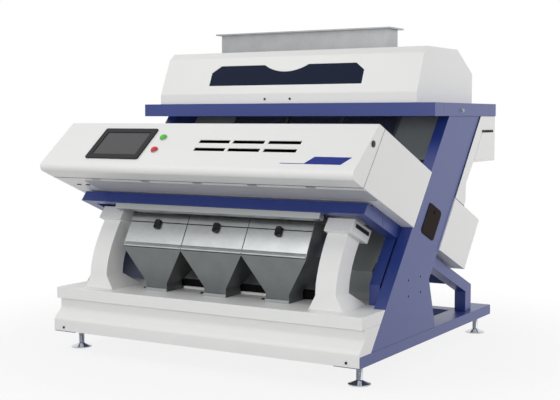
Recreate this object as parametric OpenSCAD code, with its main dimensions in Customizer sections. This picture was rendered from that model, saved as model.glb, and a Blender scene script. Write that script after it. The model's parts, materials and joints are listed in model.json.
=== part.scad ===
// Three-chute optical colour sorter.
// Y runs from the front to the rear, Z up. Side outlines are lists of [y, z] points.

/* [Base] */
// Width over the legs and rails
frame_w = 1600; // [1500:10:1800]
// Length of the base rails
rail_len = 1474; // [1440:2:1600]
// Width of a base rail
rail_w = 120; // [105:1:130]
// Height of a base rail
rail_h = 48; // [40:1:60]
// Wall of the box tubes
tube_wall = 4; // [3:0.5:6]
// Clearance under the base rails
rail_z = 91; // [80:1:110]
// Diameter of a foot pad
pad_d = 96; // [80:1:104]
// Thickness of a foot pad
pad_h = 14; // [10:1:20]
// Diameter of a foot stud
stud_d = 20; // [16:1:24]
// Distance of the front feet from the rail's front end
foot_front = 118; // [70:1:200]
// Distance of the rear feet from the rail's rear end
foot_rear = 56; // [54:1:200]

/* [Legs] */
// Lean of the legs from the floor
lean = 50.1; // [48:0.1:52]
// Where the leg's front edge meets the rail
leg_foot = 102; // [90:1:115]
// Length of the leg along the floor
leg_depth = 392; // [380:1:405]
// Thickness of a leg
leg_t = 53; // [45:1:60]
// Height of the leg's waist
waist_z = 369; // [355:1:385]
// Rear end of the leg's foot
leg_heel = 760; // [720:1:800]
// Side of the access cover along the leg
access_l = 161; // [120:1:180]
// Side of the access cover across the leg
access_w = 146; // [110:1:165]
// Height of the access cover's centre
access_z = 624; // [600:1:650]

/* [Rear brace] */
// Slope of the boxes and braces towards the rear
fall = 22; // [20:0.5:24]
// Front of the brace's foot
brace_foot = 1209; // [1190:1:1230]
// Length of the brace's foot along the rail
brace_foot_l = 75; // [60:1:85]
// Thickness of the brace's bar
brace_t = 54; // [40:1:58]
// Width of the brace
brace_w = 57; // [50:1:85]
// Height of the brace's outer knee
knee_z = 267; // [255:1:272]

/* [Top frame] */
// Underside of the top frame
beam_z = 1096; // [1080:1:1120]
// Height of the top beams
beam_h = 61; // [45:1:65]
// Overhang of the top frame past the legs on each side
beam_lap = 9; // [9:1:20]
// Front of the top frame
beam_front = 713; // [690:1:720]
// Rear of the top frame
beam_rear = 1492; // [1480:1:1520]
// Width of the side beams
beam_w = 110; // [100:1:120]
// Width of the front and rear beams
cross_w = 100; // [94:1:110]

/* [Hood] */
// Width of the hood
hood_w = 1432; // [1404:2:1440]
// Front of the hood
hood_front = 725; // [718:1:735]
// Rear of the hood
hood_rear = 1401; // [1396:1:1420]
// Height of the hood over the top frame
hood_h = 260; // [250:1:290]
// Height of the hood's upright skirt
skirt_h = 49; // [40:1:70]
// Wall of the hood and the boxes
sheet = 3; // [2:0.5:4]
// Half-width of the window's lower edge
window_half = 427; // [380:1:460]
// Width of the inlet duct
duct_w = 944; // [880:2:960]
// Front of the inlet duct
duct_front = 928; // [900:1:940]
// Depth of the inlet duct
duct_depth = 113; // [90:1:125]
// Height of the inlet duct over the hood
duct_h = 100; // [70:1:140]
// Overhang of the duct's flange
flange_w = 22; // [20:1:30]
// Thickness of the duct's flange
flange_t = 7; // [4:1:10]
// Diameter of the flange's bolt holes
flange_hole_d = 9; // [6:0.5:11]

/* [Front box] */
// Height at which the box's underside meets the legs
box_z = 616; // [600:1:630]
// Depth of the box along its underside
box_depth = 524; // [500:1:540]
// Height of the box along the lean
box_h = 300; // [280:1:320]
// Overhang of the boxes past the legs on each side
box_lap = 6; // [3:1:8]
// Reach of the door's nose in front of the seam
nose = 125; // [105:1:130]
// Depth of the door at its top
door_top = 55; // [45:1:65]
// Radius of the door's nose
nose_r = 25; // [8:1:30]
// Gap between the door and the box
seam = 0.6; // [0.4:0.1:0.9]
// Width of the screen's bezel
screen_w = 297; // [260:1:320]
// Height of the screen's bezel
screen_h = 206; // [180:1:215]
// Width of the bezel's border
bezel_border = 27; // [15:1:35]
// Centre of the screen from the middle of the machine
screen_x = -419; // [-460:1:-400]
// Diameter of a button
button_d = 22; // [18:1:24]
// Travel of a button
button_travel = 4; // [3:0.5:5]
// Centre of the buttons from the middle of the machine
button_x = -213; // [-230:1:-200]
// Diameter of the door lock's head
lock_d = 27; // [22:1:30]

/* [Tray and columns] */
// Distance of the tray beam from the seam
tray_y = 174; // [165:1:185]
// Width of the tray's arms and posts
arm_w = 57; // [45:1:65]
// Height of the tray's arms
arm_h = 54; // [40:1:60]
// Distance of a column's centre from the middle
column_x = 600; // [590:1:605]
// Width of a column's shaft
column_w = 96; // [80:1:110]
// Depth of a column's shaft
column_d = 118; // [100:1:125]
// Width of a column's foot
column_foot_w = 162; // [140:1:166]

/* [Deck and cover] */
// Height of the deck's top
deck_z = 296; // [285:1:305]
// Height of the deck's lip
lip_h = 52; // [40:1:60]
// Front of the deck's lip
lip_y = 18; // [12:1:24]
// Set-back of the cover's top
cover_back = 48; // [36:1:56]
// Height at which the cover starts to sweep back
cover_knee = 142; // [140:1:150]

/* [Hoppers] */
// Pitch of the three lanes
lane = 323; // [310:1:326]
// Height of the hoppers' top
hopper_top = 648; // [640:1:655]
// Height of the split over the sample doors
split_z = 607; // [598:1:615]
// Height of the bend under the sample doors
bend_z = 506; // [495:1:515]
// Width of a hopper's neck
neck_w = 116; // [90:1:140]
// Depth of a hopper's neck
neck_d = 120; // [90:1:125]
// Sheet of the hoppers
hopper_t = 2; // [1.5:0.5:3]
// Width of a latch
latch_w = 36; // [28:1:44]

/* [Rear box] */
// Height at which the rear box's underside meets the legs
rear_z = 490; // [485:1:500]
// Depth of the rear box along its underside
rear_depth = 334; // [320:1:345]
// Height of the rear box along the lean
rear_h = 291; // [280:1:300]
// Depth of the rear service door
rear_door_d = 40; // [30:1:60]
// Underside of the rear housing
housing_z = 874; // [860:1:890]

/* [Hidden] */
$fn = 48;
hw = frame_w / 2;
leg_in = hw - leg_t;
tray_w = 2 * leg_in;
box_w = frame_w + 2 * box_lap;
beam_span = frame_w + 2 * beam_lap;
rail_top = rail_z + rail_h;
beam_top = beam_z + beam_h;
hood_top = beam_top + hood_h;
lanes = [-lane, 0, lane];
hinge_xs = [-560, 0, 560];
run_gap = 0.05;
seat_gap = 0.3;
eps = 1;
up = [cos(lean), sin(lean)];
back = [cos(fall), -sin(fall)];
over = [sin(fall), cos(fall)];
blue = "#3b4a86";
white = "#e9e9e7";
steel = "#c2c6c6";
dark = "#2c2a2a";
grey = "#8d8f8c";

function leg_front(z) = [leg_foot + (z - rail_top) / tan(lean), z];
function leg_rear(z) = leg_front(z) + [leg_depth, 0];
function mid_line(z) = leg_front(z) + [leg_depth / 2, 0];
function unit(v) = v / norm(v);
function cross2(a, b) = a[0] * b[1] - a[1] * b[0];
function meet(p, d, q, e) = p + d * cross2(q - p, e) / cross2(d, e);
function left_of(d) = [-d[1], d[0]];
function angle_of(v) = atan2(v[1], v[0]);

// A counter-clockwise outline moved inwards by t
function inset(p, t) = [
    for (i = [0 : len(p) - 1])
        let (n1 = left_of(unit(p[i] - p[(i + len(p) - 1) % len(p)])),
             n2 = left_of(unit(p[(i + 1) % len(p)] - p[i])))
        p[i] + (n1 + n2) * t / (1 + n1 * n2)
];

// A convex corner b between a and c, rounded to radius r
function corner(a, b, c, r, steps = 6) =
    let (u = unit(a - b), v = unit(c - b), half = acos(u * v) / 2,
         mid = b + unit(u + v) * r / sin(half), a0 = angle_of(b + u * r / tan(half) - mid), turn = 180 - 2 * half)
    [for (i = [0 : steps]) mid + r * [cos(a0 + turn * i / steps), sin(a0 + turn * i / steps)]];

function rounded(p, r) = [
    for (i = [0 : len(p) - 1])
        each corner(p[(i + len(p) - 1) % len(p)], p[i], p[(i + 1) % len(p)], r)
];

// Key points of the side view
box_low = leg_front(box_z) - [run_gap, 0];
box_high = box_low + box_h * up;
seam_low = box_low - box_depth * back;
seam_high = seam_low + box_h * up;
nose_tip = seam_low - nose * back;
door_brow = seam_high - door_top * back;
face_angle = angle_of(door_brow - nose_tip);
face_dir = unit(door_brow - nose_tip);
face_len = norm(door_brow - nose_tip);
nose_half = (face_angle + fall) / 2;
nose_mid = nose_tip + nose_r / sin(nose_half) * [cos(face_angle - nose_half), sin(face_angle - nose_half)];
front_y = nose_mid[0] - nose_r;
mid_y = (front_y + beam_rear) / 2;
screen_s = 76 + screen_h / 2;
start_s = 225;
stop_s = 140;
hinge_up = 7.5;
hinge_r = 6;
hinge_pin_r = 3;
hinge_l = 40;
door_axis = seam_high - back + hinge_up * over;
rear_low = leg_rear(rear_z) + [run_gap, 0];
rear_high = rear_low + rear_h * up;
rear_seam_low = rear_low + (rear_depth - rear_door_d) * back;
rear_seam_high = rear_seam_low + rear_h * up;
rear_axis = rear_seam_high + back + hinge_up * over;
bend_y = 124;
bend = [bend_y, bend_z];
hopper_rake = [0.55, 1];
split = bend + (split_z - bend_z) * hopper_rake;
header = bend + (hopper_top - bend_z) * hopper_rake;
door_dir = unit(split - bend);
door_out = left_of(door_dir);
barrel_r = 5;
sample_pin_r = 2.5;
sample_axis = bend - barrel_r * door_out;
neck_y = 160;
tray_drop = 8;
beam_d = 43;
tray_high = seam_low + tray_y * back - tray_drop * over;
tray_low = tray_high - arm_h * up;
head_low = [170, 617];
head_h = 68;
head_l = 170;
head_w = 127;
head_in = column_x + 5 - head_w / 2;

module in_frame() { translate([0, -mid_y, 0]) children(); }
module both() { children(); mirror([1, 0, 0]) children(); }
module side(x0, x1) { translate([x0, 0, 0]) rotate([90, 0, 90]) linear_extrude(x1 - x0) children(); }
module at_side(p, turn) { translate([0, p[0], p[1]]) rotate([turn, 0, 0]) children(); }
module rod_x(p, r, x0, x1) { translate([x0, p[0], p[1]]) rotate([0, 90, 0]) cylinder(r = r, h = x1 - x0); }
module block(lo, hi) { translate(lo) cube(hi - lo); }
module tube(lo, hi, axis) {
    cut = [for (i = [0 : 2]) i == axis ? -eps : tube_wall];
    difference() {
        block(lo, hi);
        block(lo + cut, hi - cut);
    }
}
// A plate of thickness t along the line from a to b, on its left side
module plate(a, b, t, x0, x1) {
    n = left_of(unit(b - a)) * t;
    side(x0, x1) polygon([a, b, b + n, a + n]);
}
module on_face(x, s) {
    p = nose_tip + s * face_dir;
    translate([x, p[0], p[1]]) rotate([face_angle, 0, 0]) children();
}

// Base
module base_rails() {
    in_frame() color(blue) both() difference() {
        tube([hw - rail_w, 0, rail_z], [hw, rail_len, rail_top], 1);
        for (y = [foot_front, rail_len - foot_rear])
            translate([hw - rail_w / 2, y, rail_z - eps]) cylinder(d = stud_d + 2 * run_gap, h = tube_wall + 2 * eps);
    }
}
cross_rail_w = 80;
cross_lift = 10;
cross_ys = [sheet + 2, 320, brace_foot + 5];
module base_cross_rails() {
    in_frame() color(blue) for (y = cross_ys)
        tube([rail_w - hw, y, rail_z + cross_lift], [hw - rail_w, y + cross_rail_w, rail_top], 0);
}
module foot(sx, y) {
    in_frame() color(dark) translate([sx * (hw - rail_w / 2), y, 0]) {
        cylinder(d = pad_d, h = pad_h * 0.6);
        translate([0, 0, pad_h * 0.6]) cylinder(d1 = pad_d, d2 = pad_d * 0.5, h = pad_h * 0.4);
        cylinder(d = stud_d, h = rail_top - 2 * tube_wall);
    }
}
module foot_front_left() { foot(-1, foot_front); }
module foot_front_right() { foot(1, foot_front); }
module foot_rear_left() { foot(-1, rail_len - foot_rear); }
module foot_rear_right() { foot(1, rail_len - foot_rear); }
module foot_nuts() {
    in_frame() color(steel) both() for (y = [foot_front, rail_len - foot_rear])
        translate([hw - rail_w / 2, y, rail_z - 16]) difference() {
            cylinder(d = 1.7 * stud_d, h = 16, $fn = 6);
            translate([0, 0, -eps]) cylinder(d = stud_d + 2 * run_gap, h = 16 + 2 * eps);
        }
}

// Legs and braces
leg_pts = [leg_front(rail_top), [leg_heel, rail_top], leg_rear(waist_z), leg_rear(beam_z), leg_front(beam_z)];
leg_tall = [leg_pts[0], leg_pts[1], leg_pts[2], leg_rear(beam_z + 20), leg_front(beam_z + 20)];
access_mid = mid_line(access_z);
access_pts = [for (k = [[-1, -1], [-1, 1], [1, 1], [1, -1]])
    access_mid + k[0] * access_l / 2 * up + k[1] * access_w / 2 * back];
leg_holes = [for (k = [[462, 390], [588, 391], [463, 321], [592, 323]]) k + [leg_foot - 102, 0]];
module leg() {
    difference() {
        side(leg_in, hw) polygon(leg_pts);
        side(leg_in + tube_wall, hw - tube_wall) polygon(inset(leg_tall, tube_wall));
        side(hw - tube_wall - eps, hw + eps) polygon(inset(access_pts, 18));
        for (p = leg_holes) rod_x(p, 5, hw - tube_wall - eps, hw + eps);
    }
}
module leg_right() { in_frame() color(blue) leg(); }
module leg_left() { in_frame() color(blue) mirror([1, 0, 0]) leg(); }
module access_covers() {
    in_frame() color(dark) both() side(hw, hw + sheet) polygon(rounded(access_pts, 18));
}
brace_x = hw - 31;
brace_knee = [brace_foot + brace_foot_l, knee_z];
brace_in = brace_knee - brace_t * over;
brace_pts = [
    [brace_foot, rail_top], [brace_foot + brace_foot_l, rail_top], brace_knee,
    meet(brace_knee, back, leg_rear(0), up), meet(brace_in, back, leg_rear(0), up),
    meet(brace_in, back, [brace_foot, 0], [0, 1])
];
module braces() { in_frame() color(blue) both() side(brace_x - brace_w, brace_x) polygon(brace_pts); }
module rear_cross_tube() {
    p = brace_knee - 182 * back - brace_t / 2 * over;
    in_frame() color(blue) tube([brace_w - brace_x, p[0] - 25, p[1] - 22], [brace_x - brace_w, p[0] + 25, p[1] + 22], 0);
}

// Top frame
drain_x = 300;
drain_d = 10;
module top_beams_cross() {
    wall = [tube_wall, tube_wall, tube_wall];
    in_frame() color(blue) for (y = [beam_front, beam_rear - cross_w]) difference() {
        block([-beam_span / 2, y, beam_z], [beam_span / 2, y + cross_w, beam_top]);
        block([-beam_span / 2, y, beam_z] + wall, [beam_span / 2, y + cross_w, beam_top] - wall);
        for (sx = [-1, 1]) translate([sx * drain_x, y + cross_w / 2, beam_z - eps]) cylinder(d = drain_d, h = tube_wall + 2 * eps);
    }
}
module top_beams_side() {
    in_frame() color(blue) both()
        tube([beam_span / 2 - beam_w, beam_front + cross_w, beam_z], [beam_span / 2, beam_rear - cross_w, beam_top], 1);
}

// Hood and inlet
hood_fold = [hood_front, beam_top + skirt_h];
hood_brow = [hood_front + 81, hood_top - 30];
function hood_pts(z) = [
    [hood_front, z], [hood_rear, z], [hood_rear, hood_top - 109], [hood_rear - 196, hood_top],
    [hood_front + 121, hood_top], hood_brow, hood_fold
];
hood_slope = angle_of(hood_brow - hood_fold);
window_s = [45, 117, 154];
scallop_half = 123;
scallop_drop = 37;
scallop_r = (pow(scallop_half, 2) + pow(scallop_drop, 2)) / (2 * scallop_drop);
scallop_turn = asin(scallop_half / scallop_r);
scallop = [for (i = [0 : 20]) let (a = scallop_turn * (1 - i / 10))
    [scallop_r * sin(a), window_s[2] - scallop_drop + scallop_r * (1 - cos(a))]];
window_pts = concat(
    [[-window_half, window_s[0]], [window_half, window_s[0]], [window_half, window_s[1]],
     [window_half - 48, window_s[2]]],
    scallop, [[48 - window_half, window_s[2]], [-window_half, window_s[1]]]);
module hood() {
    in_frame() color(white) difference() {
        side(-hood_w / 2, hood_w / 2) polygon(hood_pts(beam_top));
        side(sheet - hood_w / 2, hood_w / 2 - sheet) polygon(inset(hood_pts(beam_top - 4 * sheet), sheet));
        at_side(hood_fold, hood_slope) translate([0, 0, -2 * sheet]) linear_extrude(4 * sheet) polygon(window_pts);
        block([-duct_w / 2 + 2, duct_front + 2, hood_top - 2 * sheet],
            [duct_w / 2 - 2, duct_front + duct_depth - 2, hood_top + eps]);
    }
}
module hood_window() {
    in_frame() color("#1d2c4f") at_side(hood_fold, hood_slope) translate([-window_half - 15, 30, -sheet - 4])
        cube([2 * window_half + 30, window_s[2] - 15, 4]);
}
module inlet_duct() {
    top = hood_top + duct_h;
    in_frame() color(grey) difference() {
        union() {
            block([-duct_w / 2, duct_front, hood_top], [duct_w / 2, duct_front + duct_depth, top]);
            block([-duct_w / 2 - flange_w, duct_front - flange_w, top - flange_t],
                [duct_w / 2 + flange_w, duct_front + duct_depth + flange_w, top]);
        }
        block([-duct_w / 2 + 2, duct_front + 2, hood_top - eps],
            [duct_w / 2 - 2, duct_front + duct_depth - 2, top + eps]);
        for (sx = [-1, 1], sy = [0, 1])
            translate([sx * (duct_w + flange_w) / 2, duct_front - flange_w / 2 + sy * (duct_depth + flange_w),
                top - flange_t - eps]) cylinder(d = flange_hole_d, h = flange_t + 2 * eps);
    }
}
feed_z = beam_top + 71;
feed_wall = 55;
feed_w = lane - 23;
bin_z = feed_z + feed_wall + 5;
bin_half = 1.5 * lane - 8;
bin_pts = [[duct_front + 17, bin_z], [duct_front + duct_depth + 40, bin_z],
    [duct_front + duct_depth + 4, hood_top - sheet], [duct_front - 4, hood_top - sheet]];
bin_tall = [bin_pts[0] - [0, 9], bin_pts[1] - [0, 9], bin_pts[2] + [0, 9], bin_pts[3] + [0, 9]];
module feed_bin() {
    in_frame() color(steel) {
        difference() {
            side(-bin_half, bin_half) polygon(bin_pts);
            side(2 - bin_half, bin_half - 2) polygon(inset(bin_tall, 2));
        }
        for (x = [-lane / 2, lane / 2]) side(x - 1, x + 1) polygon(bin_pts);
    }
}
feed_front = 880;
feed_l = 285;
drive_l = 180;
drive_w = 180;
drive_foot = 14;
drive_step = 20;
drive_y = feed_front + 5;
deck_end = drive_y + drive_l + 20;
module feeder_deck() {
    in_frame() color(blue)
        block([beam_w - beam_span / 2, beam_front + cross_w, beam_top - 6], [beam_span / 2 - beam_w, deck_end, beam_top]);
}
module feeder_drives() {
    in_frame() color(grey) for (x = lanes) {
        block([x - drive_w / 2, drive_y, beam_top], [x + drive_w / 2, drive_y + drive_l, beam_top + drive_foot]);
        block([x - drive_w / 2 + drive_step, drive_y + drive_step, beam_top + drive_foot],
            [x + drive_w / 2 - drive_step, drive_y + drive_l - drive_step, feed_z - seat_gap]);
    }
}
module feeder_tray(i) {
    x = lanes[i];
    in_frame() color(steel) difference() {
        block([x - feed_w / 2, feed_front, feed_z], [x + feed_w / 2, feed_front + feed_l, feed_z + feed_wall]);
        block([x - feed_w / 2 + 2, feed_front + 2, feed_z + 3],
            [x + feed_w / 2 - 2, feed_front + feed_l + eps, feed_z + feed_wall + eps]);
    }
}
module feeder_tray_1() { feeder_tray(0); }
module feeder_tray_2() { feeder_tray(1); }
module feeder_tray_3() { feeder_tray(2); }
chute_z = 800;
chute_low = mid_line(chute_z);
chute_l = (beam_top + 64 - chute_z) / sin(lean);
module chutes() {
    in_frame() color(steel) for (x = lanes) at_side(chute_low, lean) difference() {
        block([x - feed_w / 2, 0, 0], [x + feed_w / 2, chute_l, 25]);
        block([x - feed_w / 2 + 3, -eps, 3], [x + feed_w / 2 - 3, chute_l + eps, 25 + eps]);
    }
}
chute_bar_s = 60;
chute_bar_t = 30;
chute_plate_s = 120;
chute_plate_t = 5;
module chute_bars() {
    in_frame() color(grey) at_side(chute_low, lean) {
        block([-leg_in, chute_bar_s, -chute_bar_t], [leg_in, chute_bar_s + chute_bar_t, 0]);
        block([-leg_in, chute_plate_s, -chute_plate_t], [leg_in, (beam_z - seat_gap - chute_low[1]) / up[1], 0]);
    }
}

// Front box
box_pts = [seam_low, box_low, box_high, seam_high];
box_open = [seam_low - 20 * back, box_low, box_high, seam_high - 20 * back];
slot_s = [120, 215];
slot_half = 1.5 * lane;
module fixed_knuckles(axis, base, way) {
    for (x = hinge_xs) difference() {
        union() {
            rod_x(axis, hinge_r, x - hinge_l / 2, x + hinge_l / 2);
            side(x - hinge_l / 2, x + hinge_l / 2)
                polygon([for (k = [[1, -1], [12, -1], [12, 4], [1, 4]]) base + way * k[0] * back + k[1] * over]);
        }
        rod_x(axis, hinge_pin_r + 0.02, x - hinge_l, x + hinge_l);
    }
}
module door_knuckles(axis, base, way) {
    for (x = hinge_xs, s = [-1, 1]) difference() {
        union() {
            rod_x(axis, hinge_r, x + s * 31 - 10, x + s * 31 + 10);
            side(x + s * 31 - 10, x + s * 31 + 10)
                polygon([for (k = [[2, -1], [12, -1], [12, 4], [2, 4]]) base + way * k[0] * back + k[1] * over]);
        }
        rod_x(axis, hinge_pin_r + run_gap, x - 2 * hinge_l, x + 2 * hinge_l);
    }
}
module control_box() {
    in_frame() color(white) {
        difference() {
            side(-box_w / 2, box_w / 2) polygon(box_pts);
            side(sheet - box_w / 2, box_w / 2 - sheet) polygon(inset(box_open, sheet));
            side(-slot_half, slot_half) polygon([for (k = [[slot_s[0], -9], [slot_s[0], 9], [slot_s[1], 9], [slot_s[1], -9]])
                box_low + k[0] * up + k[1] * back]);
        }
        fixed_knuckles(door_axis, seam_high, 1);
    }
}
door_low = seam_low - seam * back;
door_high = seam_high - seam * back;
nose_arc = corner(door_brow, nose_tip, seam_low, nose_r);
door_pts = concat(nose_arc, [door_low, door_high, door_brow]);
door_void = inset([nose_tip, seam_low + 20 * back, seam_high + 20 * back, door_brow], sheet);
nose_void = [for (p = nose_arc) nose_mid + (p - nose_mid) * (nose_r - sheet) / nose_r];
door_open = concat(nose_void, [door_void[1], door_void[2], door_void[3]]);
vent_w = 157;
vent_h = 22;
vent_xs = [70, 243, 420];
vent_ss = [153, 205];
lock_p = door_brow - [60, 79];
module front_door() {
    in_frame() color(white) {
        difference() {
            side(-box_w / 2, box_w / 2) polygon(door_pts);
            side(sheet - box_w / 2, box_w / 2 - sheet) polygon(door_open);
            on_face(screen_x, screen_s) cube([screen_w - 2 * bezel_border, screen_h - 2 * bezel_border, 40], center = true);
            for (s = [start_s, stop_s]) on_face(button_x, s)
                translate([0, 0, -9]) cylinder(d = button_d + 1, h = 18);
            for (x = vent_xs, s = vent_ss) on_face(x, s) cube([vent_w, vent_h, 20], center = true);
            rod_x(lock_p, lock_d / 3 + run_gap, box_w / 2 - 9, box_w / 2 + eps);
        }
        door_knuckles(door_axis, seam_high, -1);
    }
}
module screen_bezel() {
    in_frame() color(dark) on_face(screen_x, screen_s) difference() {
        translate([-screen_w / 2, -screen_h / 2, run_gap]) cube([screen_w, screen_h, 7]);
        cube([screen_w - 2 * bezel_border, screen_h - 2 * bezel_border, 40], center = true);
    }
}
module screen_panel() {
    w = screen_w - 2 * bezel_border - 2 * seat_gap;
    h = screen_h - 2 * bezel_border - 2 * seat_gap;
    in_frame() color("#5b5b5b") on_face(screen_x, screen_s) translate([-w / 2, -h / 2, -22]) cube([w, h, 26]);
}
collar_t = 5;
stem_l = 14;
module button(s) {
    in_frame() on_face(button_x, s) {
        translate([0, 0, -stem_l]) cylinder(d = button_d, h = stem_l + collar_t + button_travel);
        translate([0, 0, -stem_l - 3]) cylinder(d = button_d + 4, h = 3);
    }
}
module start_button() { color("#4fc82a") button(start_s); }
module stop_button() { color("#d81f2b") button(stop_s); }
module button_collars() {
    in_frame() color(grey) for (s = [start_s, stop_s]) on_face(button_x, s) difference() {
        cylinder(d = button_d + 7, h = collar_t);
        translate([0, 0, -eps]) cylinder(d = button_d + 2 * run_gap, h = collar_t + 2 * eps);
    }
}
module door_lock() {
    in_frame() color(dark) {
        rod_x(lock_p, lock_d / 2, box_w / 2, box_w / 2 + 3);
        rod_x(lock_p, lock_d / 3, box_w / 2 - 22, box_w / 2);
        side(box_w / 2 - 26, box_w / 2 - 22) polygon([for (k = [[-7, -7], [7, -7], [7, 18], [-7, 18]])
            lock_p + k[0] * up + k[1] * back]);
    }
}
module hinge_pins() {
    in_frame() color(steel) {
        for (p = [door_axis, rear_axis], x = hinge_xs) rod_x(p, hinge_pin_r, x - 41, x + 41);
        for (x = lanes) rod_x(sample_axis, sample_pin_r, x - lane / 2 + 0.5, x + lane / 2 - 0.5);
    }
}
board_x = 560;
board_y = 150;
board_w = 90;
board_l = 180;
board_h = 120;
module control_boards() {
    in_frame() color("#3d6b4a") for (x = [-board_x - board_w, board_x])
        at_side(seam_low + (sheet + run_gap) * over, -fall)
            block([x, board_y, 0], [x + board_w, board_y + board_l, board_h]);
}

// Tray frame, posts, lamp bar and columns
post_x = leg_in - arm_w;
post_knee_z = 384;
post_knee = leg_front(post_knee_z);
post_d = 70;
post_gap = 8;
module tray_frame() {
    arm_top = seam_low + (tray_y + beam_d) * back;
    arm_low = arm_top - (arm_h + tray_drop) * up;
    in_frame() color(blue) {
        side(-tray_w / 2, tray_w / 2)
            polygon([tray_low, tray_low + beam_d * back, tray_high + beam_d * back, tray_high]);
        both() {
            side(post_x, leg_in) polygon([arm_low, meet(arm_low, back, leg_front(0), up), box_low, arm_top]);
            side(post_x, leg_in - post_gap)
                polygon([[post_knee[0], deck_z], [post_knee[0] + post_d, deck_z], post_knee + [post_d, 0],
                    box_low + [post_d, 0], box_low, post_knee]);
        }
    }
}
lamp_set = 6;
lamp_bar_h = 28;
module lamp_bar() {
    half = head_in - seat_gap;
    in_frame() color(grey) side(-half, half)
        polygon([for (k = [[lamp_set, 0], [lamp_set, -lamp_bar_h], [beam_d, -lamp_bar_h], [beam_d, 0]])
            tray_low + k[0] * back + k[1] * over]);
}
column_knee = 372;
column_rise = head_low[1] - column_knee;
column_front = 82;
column_reach = 113;
function column_y(z) = column_front + column_reach * pow(max(0, z - column_knee) / column_rise, 1.6);
column_foot_h = 62;
column_heel = 100;
column_swell = 28;
function flare(z) = max(0, 1 - (z - deck_z) / column_foot_h);
function column_back(z) = column_y(z) + column_d + column_heel * flare(z)
    + column_swell * pow(max(0, z - column_knee) / column_rise, 2);
column_zs = concat([deck_z, deck_z + column_foot_h], [for (i = [0 : 8]) column_knee + i * column_rise / 8]);
module column_side(grow) {
    n = len(column_zs) - 1;
    side(-column_foot_w, column_foot_w) polygon(concat(
        [for (z = column_zs) [column_y(z) - grow, z]],
        [for (i = [n : -1 : 0]) [column_back(column_zs[i]), column_zs[i]]]));
}
function column_half(z) = column_w / 2 + (column_foot_w - column_w) / 2 * flare(z);
module column_face(t) {
    n = len(column_zs) - 1;
    translate([0, rail_len, 0]) rotate([90, 0, 0]) linear_extrude(2 * rail_len) polygon(concat(
        [for (z = column_zs) [t - column_half(z), z]],
        [for (i = [n : -1 : 0]) [column_half(column_zs[i]) - t, column_zs[i]]]));
}
module columns() {
    above = [for (k = [[-300, 0], [600, 0], [600, 300], [-300, 300]]) head_low + k[0] * back + k[1] * over];
    in_frame() color(white) both() translate([column_x, 0, 0]) difference() {
        intersection() {
            column_side(0);
            column_face(0);
        }
        intersection() {
            translate([0, sheet, 0]) column_side(0);
            column_face(sheet);
        }
        side(-head_w, head_w) polygon(above);
    }
}
head_pts = [head_low, head_low + head_l * back, head_low + head_l * back + head_h * up, head_low + head_h * up];
head_deep = [head_pts[0], head_pts[1] + 9 * back, head_pts[2] + 9 * back, head_pts[3]];
module column_heads() {
    in_frame() color(white) both() difference() {
        side(head_in, head_in + head_w) polygon(head_pts);
        side(head_in + sheet, head_in + head_w - sheet) polygon(inset(head_deep, sheet));
    }
}

// Deck and base cover
deck_rear = 420;
module deck() {
    in_frame() color(white) difference() {
        union() {
            block([-hw, lip_y, deck_z - sheet], [hw, leg_front(deck_z - sheet)[0] - seat_gap, deck_z]);
            block([-leg_in, lip_y, deck_z - sheet], [leg_in, deck_rear, deck_z]);
            block([-hw, lip_y, deck_z - lip_h], [hw, lip_y + sheet, deck_z]);
            block([-hw, lip_y, deck_z - lip_h], [hw, cover_back + 4, deck_z - lip_h + sheet]);
            both() side(hw - sheet, hw) polygon([[lip_y, deck_z - lip_h], leg_front(deck_z - lip_h) - [seat_gap, 0],
                leg_front(deck_z - sheet) - [seat_gap, 0], [lip_y, deck_z - sheet]]);
        }
        for (x = lanes) block([x - neck_w / 2 - seat_gap, neck_y - seat_gap, deck_z - 2 * sheet],
            [x + neck_w / 2 + seat_gap, neck_y + neck_d + seat_gap, deck_z + eps]);
    }
}
cover_top = deck_z - lip_h;
cover_sweep = 205;
cover_line = concat([[0, rail_z + 4], [0, cover_knee]],
    [for (i = [1 : 10]) [cover_back * (1 - cos(18 * i)) / 2, cover_knee + (cover_sweep - cover_knee) * i / 10]],
    [[cover_back, cover_top]]);
module base_cover() {
    low = leg_front(rail_top);
    high = leg_front(cover_top);
    in_frame() color(white) {
        side(-hw, hw) translate([-sheet, 0]) polygon(concat(
            [for (i = [len(cover_line) - 1 : -1 : 0]) cover_line[i]], [for (p = cover_line) p + [sheet, 0]]));
        both() side(hw - sheet, hw) polygon(concat(
            [[-sheet, rail_top], low - [seat_gap, 0], high - [seat_gap, 0]],
            [for (i = [len(cover_line) - 1 : -1 : 1]) cover_line[i] - [sheet, 0]]));
    }
}

// Collecting hoppers
funnel_z = [deck_z - 70, 335, bend_z - 12];
funnel_rear = 420;
collar_h = 6;
hopper_back = [620, 540];
cheek_gap = 2 * seat_gap + hopper_t;
module frustum(lo, hi, z0, z1) {
    ring = [[0, 0], [1, 0], [1, 1], [0, 1]];
    polyhedron(
        concat([for (k = ring) [lo[k[0]], lo[2 + k[1]], z0]], [for (k = ring) [hi[k[0]], hi[2 + k[1]], z1]]),
        [[0, 1, 2, 3], [7, 6, 5, 4], [0, 4, 5, 1], [1, 5, 6, 2], [2, 6, 7, 3], [3, 7, 4, 0]]);
}
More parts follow.
